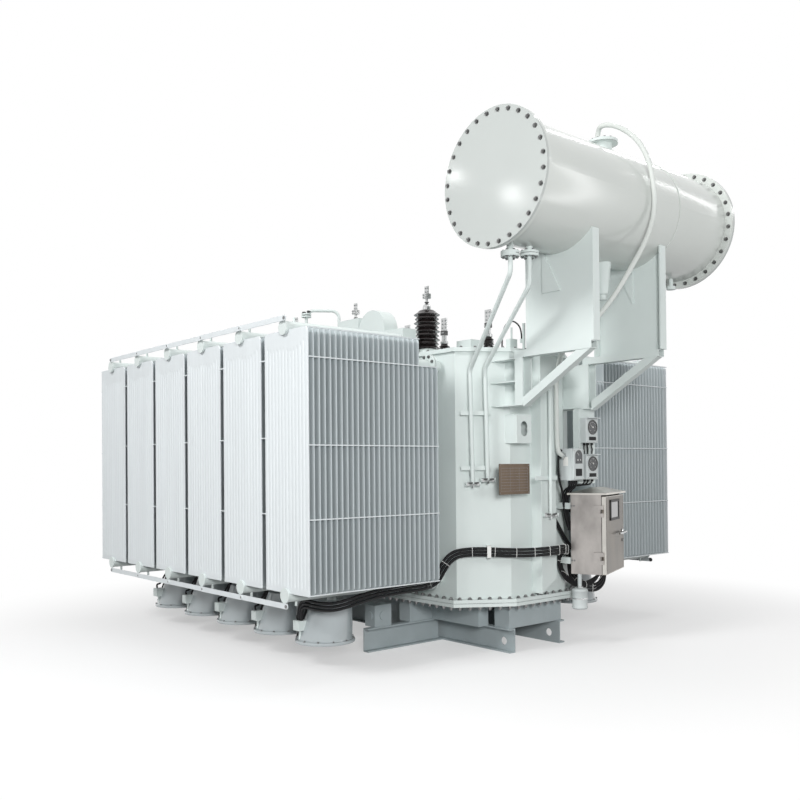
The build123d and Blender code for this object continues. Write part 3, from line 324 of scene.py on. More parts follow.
def spline_points(points):
    """Points read along a spline that the given points steer."""
    curve = bpy.data.curves.new("route", "CURVE")
    curve.dimensions = "3D"
    spline = curve.splines.new("NURBS")
    spline.points.add(len(points) - 1)
    for target, point in zip(spline.points, points):
        target.co = (point[0], point[1], point[2], 1)
    spline.order_u = 3
    spline.use_endpoint_u = True
    spline.resolution_u = 6
    helper = bpy.data.objects.new("route", curve)
    read = bpy.data.meshes.new_from_object(helper)
    result = [vertex.co.copy() for vertex in read.vertices]
    bpy.data.objects.remove(helper)
    bpy.data.curves.remove(curve)
    bpy.data.meshes.remove(read)
    return result


def octagon(grow):
    """The tank's plan outline moved outwards, counter-clockwise."""
    run = hypot(TANK_X - SHOULDER, TANK_Y - END_Y)
    ux, uy = (TANK_X - SHOULDER) / run, (TANK_Y - END_Y) / run
    shoulder = SHOULDER + grow * (1 - ux) / uy
    end = END_Y + grow * (1 - uy) / ux
    x, y = TANK_X + grow, TANK_Y + grow
    quarter = [(x, end), (shoulder, y)]
    return (quarter + [(-a, b) for a, b in reversed(quarter)] + [(-a, -b) for a, b in quarter]
            + [(a, -b) for a, b in reversed(quarter)])


def along_outline(outline, step):
    """Evenly spaced points along a closed outline, none right at its corners."""
    for a, b in zip(outline, outline[1:] + outline[:1]):
        length = dist(a, b)
        count = max(1, round(length / step))
        for i in range(count):
            share = (i + 0.5) / count
            yield a[0] + (b[0] - a[0]) * share, a[1] + (b[1] - a[1]) * share


def ring_bolts(maker, centre, r, count, along, bolt_r, head, turn=0.0):
    """Bolts on a circle round an axis."""
    along = Vector(along)
    side = along.orthogonal().normalized()
    other = along.cross(side)
    for i in range(count):
        t = turn + 2 * pi * i / count
        maker.bolt(Vector(centre) + (side * cos(t) + other * sin(t)) * r, along, bolt_r, head)


def make_rim_bolts():
    """Bolts through the tank's rim: heads above, nuts and threaded ends below."""
    bolts = Maker("rim_bolts", BOLT)
    head, nut = 11, 15
    for x, y in along_outline(octagon(44), 78):
        bolts.bolt((x, y, RIM_TOP), (0, 0, 1), 13, head)
        bolts.rod((x, y, RIM_TOP + head), (x, y, RIM_TOP + head + 7), 7, 8)
        bolts.bolt((x, y, RIM_FOOT), (0, 0, -1), 15, nut)
        bolts.rod((x, y, RIM_FOOT - nut), (x, y, RIM_FOOT - nut - 12), 8, 8)
    bolts.make()


def make_cover_bolts():
    """A row of bolts round the tank's cover."""
    bolts = Maker("cover_bolts", BOLT)
    for x, y in along_outline(octagon(8), 118):
        bolts.bolt((x, y, COVER_TOP), (0, 0, 1), 10, 8)
    bolts.make()


def make_vessel_bolts():
    """Bolts round both end covers of the expansion vessel and on its neck."""
    bolts = Maker("vessel_bolts", BOLT)
    count, circle = 28, 427
    for y, out in zip(VESSEL_ENDS, (-1, 1)):
        inner = y - out * VESSEL_FLANGES
        for i in range(count):
            t = 2 * pi * (i + 0.5) / count
            x, z = VESSEL_X + circle * cos(t), VESSEL_Z + circle * sin(t)
            bolts.bolt((x, y, z), (0, out, 0), 11, 10)
            bolts.rod((x, y, z), (x, y + out * 15, z), 6, 8)
            bolts.bolt((x, inner, z), (0, -out, 0), 11, 11)
    ring_bolts(bolts, (VESSEL_X, NECK_Y, NECK_TOP), 90, 12, (0, 0, 1), 8, 7)
    bolts.make()


def make_pipe_bolts():
    """Bolts on the header valves, the drains, the bushings' collars and the vent loop's feet."""
    bolts = Maker("flange_bolts", BOLT)
    up, down = (0, 0, 1), (0, 0, -1)
    for x in PLACES:
        for side in (-1, 1):
            for z in HEADER_LEVELS:
                ring_bolts(bolts, (x, side * 760, z), 68, 8, (0, side, 0), 9, 8, 0.39)
    for y, z in DRAINS:
        ring_bolts(bolts, (VESSEL_X, y, z + 18), 46, 6, up, 8, 8)
        ring_bolts(bolts, (VESSEL_X, y, z - 18), 46, 6, down, 8, 8)
    for x in HIGH_X:
        ring_bolts(bolts, (x, HIGH_Y, COVER_TOP + 20), 101, 10, up, 7, 7)
    for x in LOW_X:
        ring_bolts(bolts, (x, LOW_Y, COVER_TOP + 20), 57, 6, up, 6, 6)
    for x, y in VENT_FEET:
        ring_bolts(bolts, (x, y, COVER_TOP + 14), 25, 4, up, 5, 5, 0.78)
    bolts.make()


def make_strap_bolts():
    """A bolt at each header's end, through the links that tie the headers together."""
    bolts = Maker("strap_bolts", BOLT)
    for side in (-1, 1):
        for x in PLACES:
            for z in (2390, 498):
                bolts.bolt((x + 45, side * 2048, z), (0, side, 0), 12, 8)
    bolts.make()


# Radiators: pressed panels with fluted faces


def flute_depth(share, height_share, seed):
    """How far a flute stands out, fading into the flat margin at both ends."""
    margin, dip, fade = 0.040, 0.030, 0.012
    ragged = 0.018 * sin(seed * 12.9 + share * 70)
    arch = dip * (2 * share - 1) ** 2
    top = 1 - margin - dip + arch + ragged * 0.4
    low = 0.020 + ragged * 0.1
    return min(1.0, max(0.0, (top - height_share) / fade)) * min(1.0, max(0.0, (height_share - low) / fade))


def fluted_panel(maker, x, y_face, out, head, seed):
    """A panel whose outer face carries upright flutes: a grid of points moved in and out."""
    half, height = PANEL_HALF, head - PANEL_FOOT
    flute, drop, corner = 4.5, 3.0, 22
    columns = FLUTES * 8
    across = columns + 1
    rows = [0, 0.006, 0.018, 0.024, 0.032, 0.25, 0.5, 0.75, 0.90]
    rows += [0.915 + 0.006 * i for i in range(13)] + [1.0]
    points = []
    for row in rows:
        cut = max(0.0, corner - min(row, 1 - row) * height)
        for i in range(across):
            share = i / columns
            edge = min(share, 1 - share)
            margin = min(1.0, edge / 0.035)
            groove = abs(2 * (FLUTES * share % 1) - 1)
            wave = 1 - max(0.0, (groove - 0.55) / 0.45) ** 1.5
            rounding = drop * (1 - min(1.0, edge / 0.010)) ** 2
            depth = flute * (1 - wave) * margin * flute_depth(share, row, seed)
            spot_x = x - half + 2 * half * share
            if row > 0.5:
                spot_x = max(x - half + cut * 0.9, min(x + half - cut * 0.9, spot_x))
            points.append((spot_x, y_face + out * (-rounding - depth), PANEL_FOOT + row * height))
    faces = []
    for r in range(len(rows) - 1):
        for i in range(columns):
            a = r * across + i
            faces.append((a, a + 1, a + across + 1, a + across))
    back_start = len(points)
    outline = list(range(across)) + [r * across + columns for r in range(1, len(rows))]
    outline += [(len(rows) - 1) * across + i for i in range(columns - 1, -1, -1)]
    outline += [r * across for r in range(len(rows) - 2, 0, -1)]
    for i in outline:
        px, _, pz = points[i]
        points.append((px, y_face - out * PANEL_T, pz))
    count = len(outline)
    for k in range(count):
        m = (k + 1) % count
        faces.append((outline[k], back_start + k, back_start + m, outline[m]))
    faces.append(tuple(back_start + k for k in range(count)))
    maker.add(points, faces, True)


def plain_panel(maker, x, y_face, out, head):
    """An inner panel: flat sheets with a rounded bead down both long edges, and cut corners."""
    half, corner = PANEL_HALF, 20
    middle = y_face - out * PANEL_T / 2
    quarter = [(half - 1.5, 3.5), (half - 5, 5), (half - 26, 5), (half - 34, 3.4)]
    upper = quarter + [(-a, b) for a, b in reversed(quarter)]
    profile = [(half, 0)] + upper + [(-half, 0)] + [(a, -b) for a, b in reversed(upper)]
    levels = [(PANEL_FOOT, corner), (PANEL_FOOT + corner, 0), (head - corner, 0), (head, corner)]
    points = []
    for z, cut in levels:
        for px, py in profile:
            thin = py * 0.5 if cut else py
            points.append((x + max(-half + cut, min(half - cut, px)), middle + thin, z))
    count = len(profile)
    ends = [tuple(range(count - 1, -1, -1)), tuple(3 * count + k for k in range(count))]
    maker.add(points, bands(len(levels), count) + ends, True)


def make_radiators():
    """Both banks: the outermost panel of each radiator is fluted, the rest are plain and darker, as painted
    shade.
    """
    for side, word in ((-1, "near"), (1, "far")):
        for number, x in enumerate(PLACES, start=1):
            maker = Maker(f"radiator_panels_{word}_{number}", PANEL, SHADED_PANEL)
            fluted_panel(maker, x, side * BANK_FACE, side, PANEL_HEAD, number)
            # The inner panels wear the darker copy of the radiator paint: painted shade
            maker.use(SHADED_PANEL)
            for index in range(1, PANELS):
                head = SHORT_HEAD if index >= PANELS - SHORT_PANELS else PANEL_HEAD
                plain_panel(maker, x, side * (BANK_FACE - index * PANEL_STEP), side, head)
            maker.make(stands_for=[f"radiator_{word}_{number}"])


# Bushings, terminals and what stands on the cover


def shed_outline(foot, core, shed, count, pitch, shorter):
    """A porcelain column's outline with rounded drooping sheds, every second one shorter."""
    outline = [(core, foot)]
    for index in range(count):
        z = foot + index * pitch
        edge = shed - (index % 2) * shorter
        for r, rise in ((core, 0.16), (core + 4, 0.22), (edge - 12, 0.16), (edge - 3, 0.13), (edge, 0.20),
                        (edge - 1.5, 0.30), (edge - 10, 0.44), (core + 12, 0.74), (core + 2, 0.84),
                        (core, 0.92)):
            outline.append((r, z + rise * pitch))
    head = foot + count * pitch
    crown = head + 0.5 * pitch
    return outline + [(core, head), (0.8 * core, head + 0.35 * pitch), (0.5 * core, crown), (0, crown)]


def make_bushings():
    """Glazed columns on metal collars, both rows."""
    for name, node, places, y, outline, sides in (
            ("high_voltage_porcelain", "hv_bushings", HIGH_X, HIGH_Y,
             shed_outline(2365, 74, 107.5, 9, 34.5, 8), 64),
            ("low_voltage_porcelain", "lv_bushings", LOW_X, LOW_Y,
             shed_outline(2395, 36, 52.5, 4, 30, 4), 48)):
        columns = Maker(name, PORCELAIN)
        for x in places:
            columns.lathe(outline, (x, y, 0), sides)
        columns.make(stands_for=[node])
    collars = Maker("bushing_flanges", PAINT)
    for places, y, edge, core, height in ((HIGH_X, HIGH_Y, 118, 80, 75), (LOW_X, LOW_Y, 67, 44, 105)):
        outline = [(edge - 1, 0), (edge, 2), (edge, 17), (edge - 3, 20), (core + 10, 20), (core + 3, 24),
                   (core, 34), (core, height - 6), (core - 4, height), (0, height)]
        for x in places:
            collars.lathe(outline, (x, y, COVER_TOP), 48)
    collars.make(stands_for=["bushing_collars"])


def bolt_pairs(maker, x, y, reach, shifts, levels, r):
    """Bolts on both faces of an upright plate or block that stands across Y."""
    for shift in shifts:
        for z in levels:
            for side in (-1, 1):
                maker.bolt((x + shift, y + side * reach, z), (0, side, 0), r, r)


def make_terminals():
    """Metal caps with bolted clamps, and the flat tongues that stand in them."""
    tops = Maker("bushing_terminals", BRIGHT, DARK_METAL)
    foot = 2692.7
    clamp = foot + 92
    dome = [(34, foot), (34, foot + 20), (31, foot + 32), (24, foot + 42), (14, foot + 48), (11, foot + 52),
            (11, clamp), (0, clamp)]
    for x in HIGH_X:
        tops.use(BRIGHT)
        tops.lathe(dome, (x, HIGH_Y, 0), 32)
        tops.use(DARK_METAL)
        tops.rod((x, HIGH_Y, foot + 56), (x, HIGH_Y, foot + 66), 18, 6)
        tops.use(BRIGHT)
        tops.box(x - 24, x + 24, HIGH_Y - 24, HIGH_Y - 0.8, clamp, clamp + 41)
        tops.box(x - 24, x + 24, HIGH_Y + 0.8, HIGH_Y + 24, clamp, clamp + 41)
        bolt_pairs(tops, x, HIGH_Y, 24, (-15, 15), (clamp + 11, clamp + 30), 5)
        tops.box(x - 22, x + 22, HIGH_Y - 4, HIGH_Y + 4, clamp + 41, clamp + 103)
        bolt_pairs(tops, x, HIGH_Y, 4, (-11, 11), (clamp + 56, clamp + 86), 5)
    foot = 2530
    cap = [(36, foot), (37, foot + 4), (37, foot + 20), (33, foot + 24), (24, foot + 24), (24, foot + 78),
           (0, foot + 78)]
    for x in LOW_X:
        tops.lathe(cap, (x, LOW_Y, 0), 32)
        tops.use(DARK_METAL)
        tops.box(x - 24, x + 24, LOW_Y - 24, LOW_Y + 24, foot + 79, foot + 120)
        tops.use(BRIGHT)
        for shift in (-14, 14):
            tops.bolt((x + shift, LOW_Y - 24, foot + 99), (0, -1, 0), 6, 6)
        tops.box(x - 37, x + 37, LOW_Y - 5, LOW_Y + 5, foot + 120, foot + 238)
        bolt_pairs(tops, x, LOW_Y, 5, (-19, 19), (foot + 150, foot + 182, foot + 214), 6)
    tops.make(stands_for=["terminals"])


def dial(maker, y, z, r):
    """A round instrument on a gauge's face: a dark rim and glass with light marks and a hand."""
    x = GAUGE_FACE
    maker.use(DARK_METAL)
    rim = [(r + 3, x - 6), (r + 3, x + 5), (r, x + 8), (r - 5, x + 6), (r - 5, x + 2)]
    maker.lathe(rim, (0, y, z), 48, "x")
    maker.use(GLASS)
    maker.rod((x - 2, y, z), (x + 3, y, z), r - 4, 48, smooth=False)
    maker.use(DIAL)
    for i in range(31):
        t = radians(225 - i * 270 / 30)
        long = i % 5 == 0
        inner, outer = r - (20 if long else 15), r - 11
        a = (x + 3.6, y + inner * cos(t), z + inner * sin(t))
        b = (x + 3.6, y + outer * cos(t), z + outer * sin(t))
        maker.rod(a, b, 0.9 if long else 0.5, 4, smooth=False)
    t = radians(150)
    reach = r - 18
    maker.rod((x + 4.5, y, z), (x + 4.5, y + reach * cos(t), z + reach * sin(t)), 1.8, 4, 0.7)
    maker.rod((x + 3, y, z), (x + 7, y, z), 6, 16)


# The two gauges and the relay beside them: faces, sides, levels and where the gauges' wires leave
GAUGE_FACE, GAUGE_Y, GAUGE_H = 2100, (298, 442), 196
GAUGE_FEET = (1577, 1294)
RELAY_FACE, RELAY_Y, RELAY_Z = 2096, (138, 272), (1287, 1533)
TAILS = [(2062, 318), (2075, 342), (2058, 366), (2078, 390), (2060, 414)]


def make_gauges():
    """Cast housings with softened edges, then the gauges' dials, slots, lips, screws and glands."""
    y0, y1 = GAUGE_Y
    cast = Maker("gauge_housings", CAST)
    for foot in GAUGE_FEET:
        cast.box(2036, GAUGE_FACE - 4, y0, y1, foot, foot + GAUGE_H)
        cast.box(GAUGE_FACE - 8, GAUGE_FACE, y0 + 6, y1 - 6, foot + 6, foot + GAUGE_H - 6)
    cast.box(1968, RELAY_FACE - 18, *RELAY_Y, *RELAY_Z)
    cast.box(RELAY_FACE - 20, RELAY_FACE, RELAY_Y[0] + 6, RELAY_Y[1] - 6, RELAY_Z[0] + 6, RELAY_Z[1] - 6)
    cast.make(stands_for=["gauges"], bevel=7)
    maker = Maker("gauge_dials", DARK_METAL, GLASS, DIAL, BRIGHT, RUBBER, CAST)
    for foot in GAUGE_FEET:
        dial(maker, 372, foot + 122, 54)
        maker.use(RUBBER)
        maker.box(GAUGE_FACE - 1, GAUGE_FACE + 1.5, 328, 414, foot + 20, foot + 48)
        maker.use(CAST)
        maker.box(GAUGE_FACE - 12, GAUGE_FACE + 24, y0, y1, foot + 190, foot + 197)
        maker.use(BRIGHT)
        for y in (y0 + 16, y1 - 14):
            for z in (foot + 14, foot + 180):
                maker.rod((GAUGE_FACE - 1, y, z), (GAUGE_FACE + 3, y, z), 4, 10)
        maker.use(RUBBER)
        for x, y in TAILS:
            maker.rod((x, y, foot + 2), (x, y, foot - 16), 10, 12)
    add_relay_face(maker)
    maker.make()


def add_relay_face(maker):
    """The relay's arched window with its marks, a blank label on each of two sides, screws and glands."""
    front, middle, reach, spring = RELAY_FACE + 1.5, 205, 39, 1478
    turns = [pi * i / 16 for i in range(1, 16)]
    arch = [(front, middle - reach, 1420), (front, middle + reach, 1420), (front, middle + reach, spring)]
    arch += [(front, middle + reach * cos(t), spring + reach * sin(t)) for t in turns]
    arch += [(front, middle - reach, spring)]
    count = len(arch)
    walls = [(i, count + i, count + (i + 1) % count, (i + 1) % count) for i in range(count)]
    maker.use(GLASS)
    maker.add(arch + [(front - 2.5, y, z) for _, y, z in arch], [tuple(range(count))] + walls)
    maker.use(DARK_METAL)
    maker.sweep([(front - 1, y, z) for _, y, z in arch], 3.5, 6, closed=True)
    maker.use(DIAL)
    for z in (1438, 1446):
        for y in (182, 196, 222):
            maker.box(front, front + 0.7, y, y + 7, z, z + 4)
    maker.rod((front + 0.5, middle, 1482), (front + 0.5, 186, 1500), 1.5, 4)
    maker.use(RUBBER)
    maker.box(front - 2.5, front + 0.5, 168, 242, 1322, 1378)
    maker.use(DIAL)
    maker.box(2000, 2046, RELAY_Y[0] - 1.4, RELAY_Y[0], 1400, 1470)
    maker.use(BRIGHT)
    for y in (RELAY_Y[0] + 14, RELAY_Y[1] - 14):
        for z in (RELAY_Z[0] + 17, RELAY_Z[1] - 17):
            maker.rod((RELAY_FACE - 1, y, z), (RELAY_FACE + 4, y, z), 5, 6)
    maker.use(RUBBER)
    for y in (165, 190, 215, 240):
        maker.rod((2040, y, RELAY_Z[0] + 2), (2040, y, RELAY_Z[0] - 25), 11, 12)


def make_wiring():
    """Small black wires: from gauges and relay to the cabinet's back, and in a loop to its foot."""
    maker = Maker("gauge_wiring", RUBBER, TIE)
    for index, (x, y) in enumerate(TAILS):
        k = 9 * (index - 2)
        maker.wire([(x, y, 1280), (x - 6, y - 2, 1262), (2036 - k, y - 30 + k, 1247),
                    (1986 + k, 278 + k, 1240 + 4 * index), (1946 + k, 236, 1200 + k), (1942 + k, 232, 1120),
                    (1968, 262 + k, 1040)], 5, 8)
        maker.wire([(x, y, 1563), (x - 4, y, 1548), (x + 2, y + 0.4 * k, 1530), (x, y, 1508),
                    (x, y, 1490)], 5, 8)
    for index in range(4):
        k = 13 * (index - 1.5)
        y = 165 + 25 * index
        maker.wire([(2040, y, 1266), (2036, y + 2, 1238), (1985 + k, 205 + k, 1215),
                    (1955 + k, 214 + 0.4 * k, 1150), (1948 + k, 226, 1020), (1965, 256 + k, 900)], 7)
    for index in range(3):
        k = 15 * (index - 1)
        maker.wire([(1866, 112, 1030 + k), (1884, 140, 1012 + k), (1893, 172, 968 + k), (1900, 222, 892 + k),
                    (1904, 262, 832 + k), (1922, 300, 770 + k), (1955, 334, 720 + k)], 8)
    for index in range(4):
        k = 12 * (index - 1.5)
        maker.wire([(1996, 160, 764 + k), (1950 + k, 178, 742), (1908, 190 + k, 690), (1902, 206 + k, 610),
                    (1916, 240 + k, 540 + 0.5 * k), (1944, 292, 488 + k), (1962, 360, 462 + k),
                    (1966, 460, 460 + k), (1982, 548, 496 + k), (1992 + k, 606, 540),
                    (1994 + k, 618, 568)], 7)
    maker.wire([(1985, 136, 1516), (1985, 116, 1530), (1982, 104, 1500), (1980, 102, 1420),
                (1978, 106, 1330), (1972, 128, 1270), (1958, 170, 1215), (1950, 196, 1130),
                (1950, 214, 1010), (1968, 250, 900)], 9)
    maker.use(TIE)
    for at, turn in (((1958, 424, 460), 0), ((1912, 232, 560), 50), ((1986, 575, 512), -50),
                     ((1905, 196, 660), 80)):
        maker.place = Matrix.Translation(at) @ Matrix.Rotation(radians(turn), 4, "X")
        maker.lathe([(31, -2), (33, 0), (31, 2)], (0, 0, 0), 24, "y")
    maker.make()


# The cabinet's own frame, X out of its door and Y along it, and the door's face, width, foot and head
IN_CABINET = Matrix.Translation((1995, 227, 0)) @ Matrix.Rotation(radians(22.9), 4, "Z")
DOOR_FACE, DOOR_W, DOOR_LOW, DOOR_HIGH = 270, 592, 567, 1161
WINDOW_Y, WINDOW_Z, WINDOW_BORDER = (145, 435), (971, 1133), (26, 20)


def border(maker, x0, x1, ys, zs, wide, high):
    """Four strips along the inside of an upright rectangle's edges."""
    y0, y1, z0, z1 = *ys, *zs
    for strip in ((y0, y1, z1 - high, z1), (y0, y1, z0, z0 + high),
                  (y0, y0 + wide, z0, z1), (y1 - wide, y1, z0, z1)):
        maker.box(x0, x1, *strip)


def make_cabinet_trim():
    """The door's window, edge strips, lock and lever, and the case's folds and bolts."""
    door = Maker("cabinet_door_trim", INK, GLASS, ROOF, BOLT, RUBBER)
    door.place = IN_CABINET
    face, low, high = DOOR_FACE, DOOR_LOW, DOOR_HIGH
    (y0, y1), (z0, z1), (wide, tall) = WINDOW_Y, WINDOW_Z, WINDOW_BORDER
    border(door, face, face + 7, WINDOW_Y, WINDOW_Z, wide, tall)
    door.use(GLASS)
    door.box(face, face + 3, y0 + wide, y1 - wide, z0 + tall, z1 - tall)
    door.use(ROOF)
    door.box(face, face + 1.2, y0 + 40, y1 - 40, z0 + 34, z0 + 40)
    door.box(face, face + 2.5, 0, 9, low, high)
    door.box(face - 27, face, -1.5, 0, low, high)
    for strip in ((9, DOOR_W, low, low + 3), (9, DOOR_W, high - 3, high),
                  (DOOR_W - 3, DOOR_W, low + 3, high - 3)):
        door.box(face, face + 1.6, *strip)
    door.use(BOLT)
    door.rod((face, 548, 792), (face + 5, 548, 792), 12, 24)
    door.rod((face + 5, 548, 792), (face + 7, 548, 792), 5, 12)
    door.use(RUBBER)
    door.box(face, face + 1, 24, 27, 590, 1140)
    door.make(body="cabinet_door_leaf")
    lever = Maker("cabinet_lever", BRIGHT)
    lever.place = IN_CABINET
    boss = [(0, face), (24, face), (24, face + 6), (20, face + 10), (9, face + 11), (9, face + 30),
            (0, face + 30)]
    lever.lathe(boss, (0, 550, 860), 32, "x")
    lever.sweep([(face + 31, 562, 860), (face + 32, 540, 860), (face + 32, 480, 860), (face + 34, 420, 859),
                 (face + 32, 370, 858), (face + 27, 350, 857)], 7.5, 14)
    lever.make(body="cabinet_door_leaf", stands_for=["door_handle"])
    case = Maker("cabinet_case_trim", INK, STEEL, BOLT, ROOF)
    case.place = IN_CABINET
    case.box(238, 241, 4, 8, 572, 1170)
    case.use(BOLT)
    for x in (30, 208):
        for y in (90, 300, 510):
            case.bolt((x, y, 564), (0, 0, -1), 7, 6)
    for z in (667, 1090):
        for x in (8, 26):
            case.bolt((x, 0, z), (0, -1, 0), 5, 4)
    case.use(STEEL)
    case.box(226, 238, -1.6, 0, 568, 1172)
    case.box(0, 6, -1.2, 0, 568, 1172)
    case.use(ROOF)
    case.box(-22, 286, -24, -22, 1177, 1189)
    case.make()


def offset_cable(route, shift):
    """A route moved by a shift in the plane that stands upright along it."""
    corners = [Vector(p) for p in route]
    runs = [(b - a).normalized() for a, b in zip(corners, corners[1:])]
    normals = []
    for run, other in zip(runs, runs[1:2] + runs[:-1]):
        up = Vector((0, 0, 1)) - run * run.z
        if up.length < 0.01:
            up = Vector((-other.x, -other.y, 0))
        normals.append(up.normalized())
    moved = []
    for corner, a, b in zip(corners, normals[:1] + normals, normals + normals[-1:]):
        moved.append(corner + (a + b) * (shift / (1 + a.dot(b))))
    return moved


# The three cables: radius, distance between neighbours, the middle one's route, ties as shares of it
CABLE_R, CABLE_STEP = 10.8, 24
TIE_SHARES = (0.30, 0.36, 0.43, 0.475, 0.51, 0.545, 0.575, 0.60, 0.63, 0.69, 0.74, 0.80, 0.88)
CABLE_ROUTE = [
    (1108, -1698, 320), (1108, -1698, 385), (1146, -1700, 438), (1222, -1705, 449), (1360, -1702, 442),
    (1545, -1680, 462), (1553, -1400, 518), (1549, -1120, 530), (1558, -815, 538), (1592, -765, 650),
    (1640, -708, 752), (1710, -602, 772), (1793, -478, 768), (1890, -346, 758), (1992, -200, 757),
    (2046, -60, 765), (2044, 90, 768), (1988, 175, 764), (1928, 262, 742), (1898, 322, 650),
    (1893, 352, 545), (1925, 412, 466), (1958, 482, 428), (1980, 560, 426), (1986, 622, 460),
    (1984, 645, 512), (1984, 645, 564),
]


def make_cables():
    """The three cables with their ties, the clip on the tank's corner and the cover's thin cable."""
    maker = Maker("control_cables", RUBBER, TIE)
    for index in range(3):
        maker.wire(offset_cable(CABLE_ROUTE, (index - 1) * CABLE_STEP), CABLE_R, 12)
    arc = [(1500, 2330), (1500, 2440), (1530, 2530), (1610, 2562), (1685, 2515), (1710, 2450), (1710, 2400)]
    maker.wire([(x, 0, z) for x, z in arc], 6)
    maker.use(TIE)
    middle = spline_points(CABLE_ROUTE)
    reach = CABLE_R + 2.7
    for share in TIE_SHARES:
        k = int(share * (len(middle) - 1))
        along = (middle[k + 1] - middle[k - 1]).normalized()
        up = (Vector((0, 0, 1)) - along * along.z).normalized()
        side = along.cross(up)
        loop = []
        for t in (2 * pi * i / 24 for i in range(24)):
            rise = copysign(CABLE_STEP, sin(t)) + reach * sin(t)
            loop.append(middle[k] + up * rise + side * reach * cos(t))
        maker.sweep(loop, 2.2, 6, closed=True)
    maker.make(stands_for=["cables"])
    clip = Maker("cable_clip", TIE)
    clip.place = Matrix.Translation((SHOULDER, -TANK_Y, 0)) @ Matrix.Rotation(-CORNER_ANGLE, 4, "Z")
    clip.box(53, 58, 221, 251, 722, 816)
    for z in (722, 811):
        clip.box(27, 58, 221, 251, z, z + 5)
    clip.make(bevel=2)


# A fan cowl's lean, and its outline as share of the lean, height and radius
FAN_LEAN = 35
COWL = [
    (0.0, 155, 205), (0.0, 155, 216), (0.0, 160, 218), (0.0, 171, 218), (0.0, 177, 214), (0.0, 180, 204),
    (0.02, 190, 197), (0.25, 255, 187), (0.55, 330, 172), (0.85, 415, 156), (1.0, 455, 150), (1.0, 455, 60),
    (1.0, 430, 50),
]


def add_cowl(maker, x, y, side):
    """A leaning cone with a rolled foot, a ring grille in its mouth and bolts on its flange."""
    sides = 64
    points = []
    for lean, z, r in COWL:
        cx, cy = x + FAN_LEAN * lean, y - side * FAN_LEAN * lean
        points += [(cx + r * cos(t), cy + r * sin(t), z)
                   for t in (2 * pi * i / sides for i in range(sides))]
    top = tuple((len(COWL) - 1) * sides + i for i in range(sides))
    maker.use(FAN)
    maker.add(points, bands(len(COWL), sides) + [top], True)
    maker.use(DARK_METAL)
    for r in (60, 100, 140, 180):
        maker.lathe([(r, 158), (r + 2, 160), (r, 162), (r - 2, 160), (r, 158)], (x, y, 0), 48)
    for i in range(8):
        t = pi * i / 4
        maker.rod((x, y, 160), (x + 205 * cos(t), y + 205 * sin(t), 160), 3, 6)
    maker.use(BOLT)
    for i in range(12):
        t = pi * i / 6 + 0.2
        maker.bolt((x + 210 * cos(t), y + 210 * sin(t), 178), (0, 0, 1), 6, 6)


def add_fan_box(maker, x, y, side):
    """A cowl's hanger, the box beside it, the lead from the box to the cowl's top, and one down its slope."""
    cx, cy = x + FAN_LEAN, y - side * FAN_LEAN
    bx, by = x - 40, y + side * 188
    maker.use(PAINT)
    maker.box(cx - 40, cx + 40, cy - 10, cy + 10, 450, 517.5)
    maker.box(bx - 35, bx + 35, by - 35, by + 35, 250, 320)
    maker.box(bx - 31, bx + 31, *sorted((by + side * 35, by + side * 38)), 254, 316)
    maker.rod((bx, by, 178), (bx, by, 251), 9, 16)
    maker.use(RUBBER)
    maker.wire([(bx - 20, by + side * 5, 322), (bx - 40, by + side * 6, 352), (x - 86, y + side * 150, 352),
                (x - 82, y + side * 128, 400), (x - 62, y + side * 96, 462), (x - 50, y + side * 60, 500)], 8)
    slope = []
    for z in (470, 430, 380, 330, 280, 230, 196):
        rise = (z - 179) / 276
        lean = FAN_LEAN * rise
        reach = 196 - 46 * rise + 7
        slope.append((x + lean - 0.60 * reach, y - side * lean + side * 0.80 * reach, z))
    maker.sweep(slope, 9)


def make_fans():
    """A row of fans under each bank."""
    for name, y, side in (("near", -1510, -1), ("far", 1303, 1)):
        maker = Maker(f"fan_cowls_{name}", FAN, PAINT, RUBBER, BOLT, DARK_METAL)
        for x in FAN_PLACES:
            add_cowl(maker, x, y, side)
            add_fan_box(maker, x, y, side)
        maker.make(stands_for=[f"fans_{name}"])


def make_pipe_fittings():
    """Cocks at the pipes' lower ends, the vent loop's knobs, and the gaskets between flanges."""
    maker = Maker("drain_cocks", BRIGHT, DARK_METAL)
    for at in ((1743, -586, 1273), (1807, -493, 1301), (2005, -20, 1030)):
        maker.place = Matrix.Translation(at) @ Matrix.Rotation(-CORNER_ANGLE, 4, "Z")
        maker.use(BRIGHT)
        maker.rod((0, -30, 0), (0, 30, 0), 13, 6)
        for side in (-1, 1):
            maker.use(BRIGHT)
            maker.rod((0, side * 30, 0), (0, side * 46, 0), 16, 8)
            maker.use(DARK_METAL)
            maker.rod((0, side * 22, 0), (26, side * 22, 8), 5, 8)
            maker.rod((26, side * 22 - 16, 8), (26, side * 22 + 16, 8), 5, 8)
        maker.use(BRIGHT)
        maker.rod((0, 0, -10), (0, 0, -28), 9, 6)
    maker.place = Matrix.Identity(4)
    maker.use(DARK_METAL)
    x, y = VENT_FEET[0]
    for reach in (-38, 38):
        maker.rod((x + reach * 0.3, y, 2822), (x + reach, y, 2840), 6, 8)
        maker.lathe([(0, 2832), (16, 2834), (19, 2840), (16, 2848), (0, 2850)], (x + reach, y, 0), 20)
    maker.make()
    gaps = Maker("flange_gaskets", GASKET)
    for x in PLACES:
        for side in (-1, 1):
            for z in HEADER_LEVELS:
                gaps.lathe([(85.4, -1.5), (85.4, 1.5)], (x, side * 742, z), 40, "y")
    for y, z in DRAINS:
        gaps.lathe([(62.4, -1.5), (62.4, 1.5)], (VESSEL_X, y, z), 32)
    gaps.lathe([(109, -1), (109, 1)], (VESSEL_X, NECK_Y, 3750), 40)
    gaps.make()


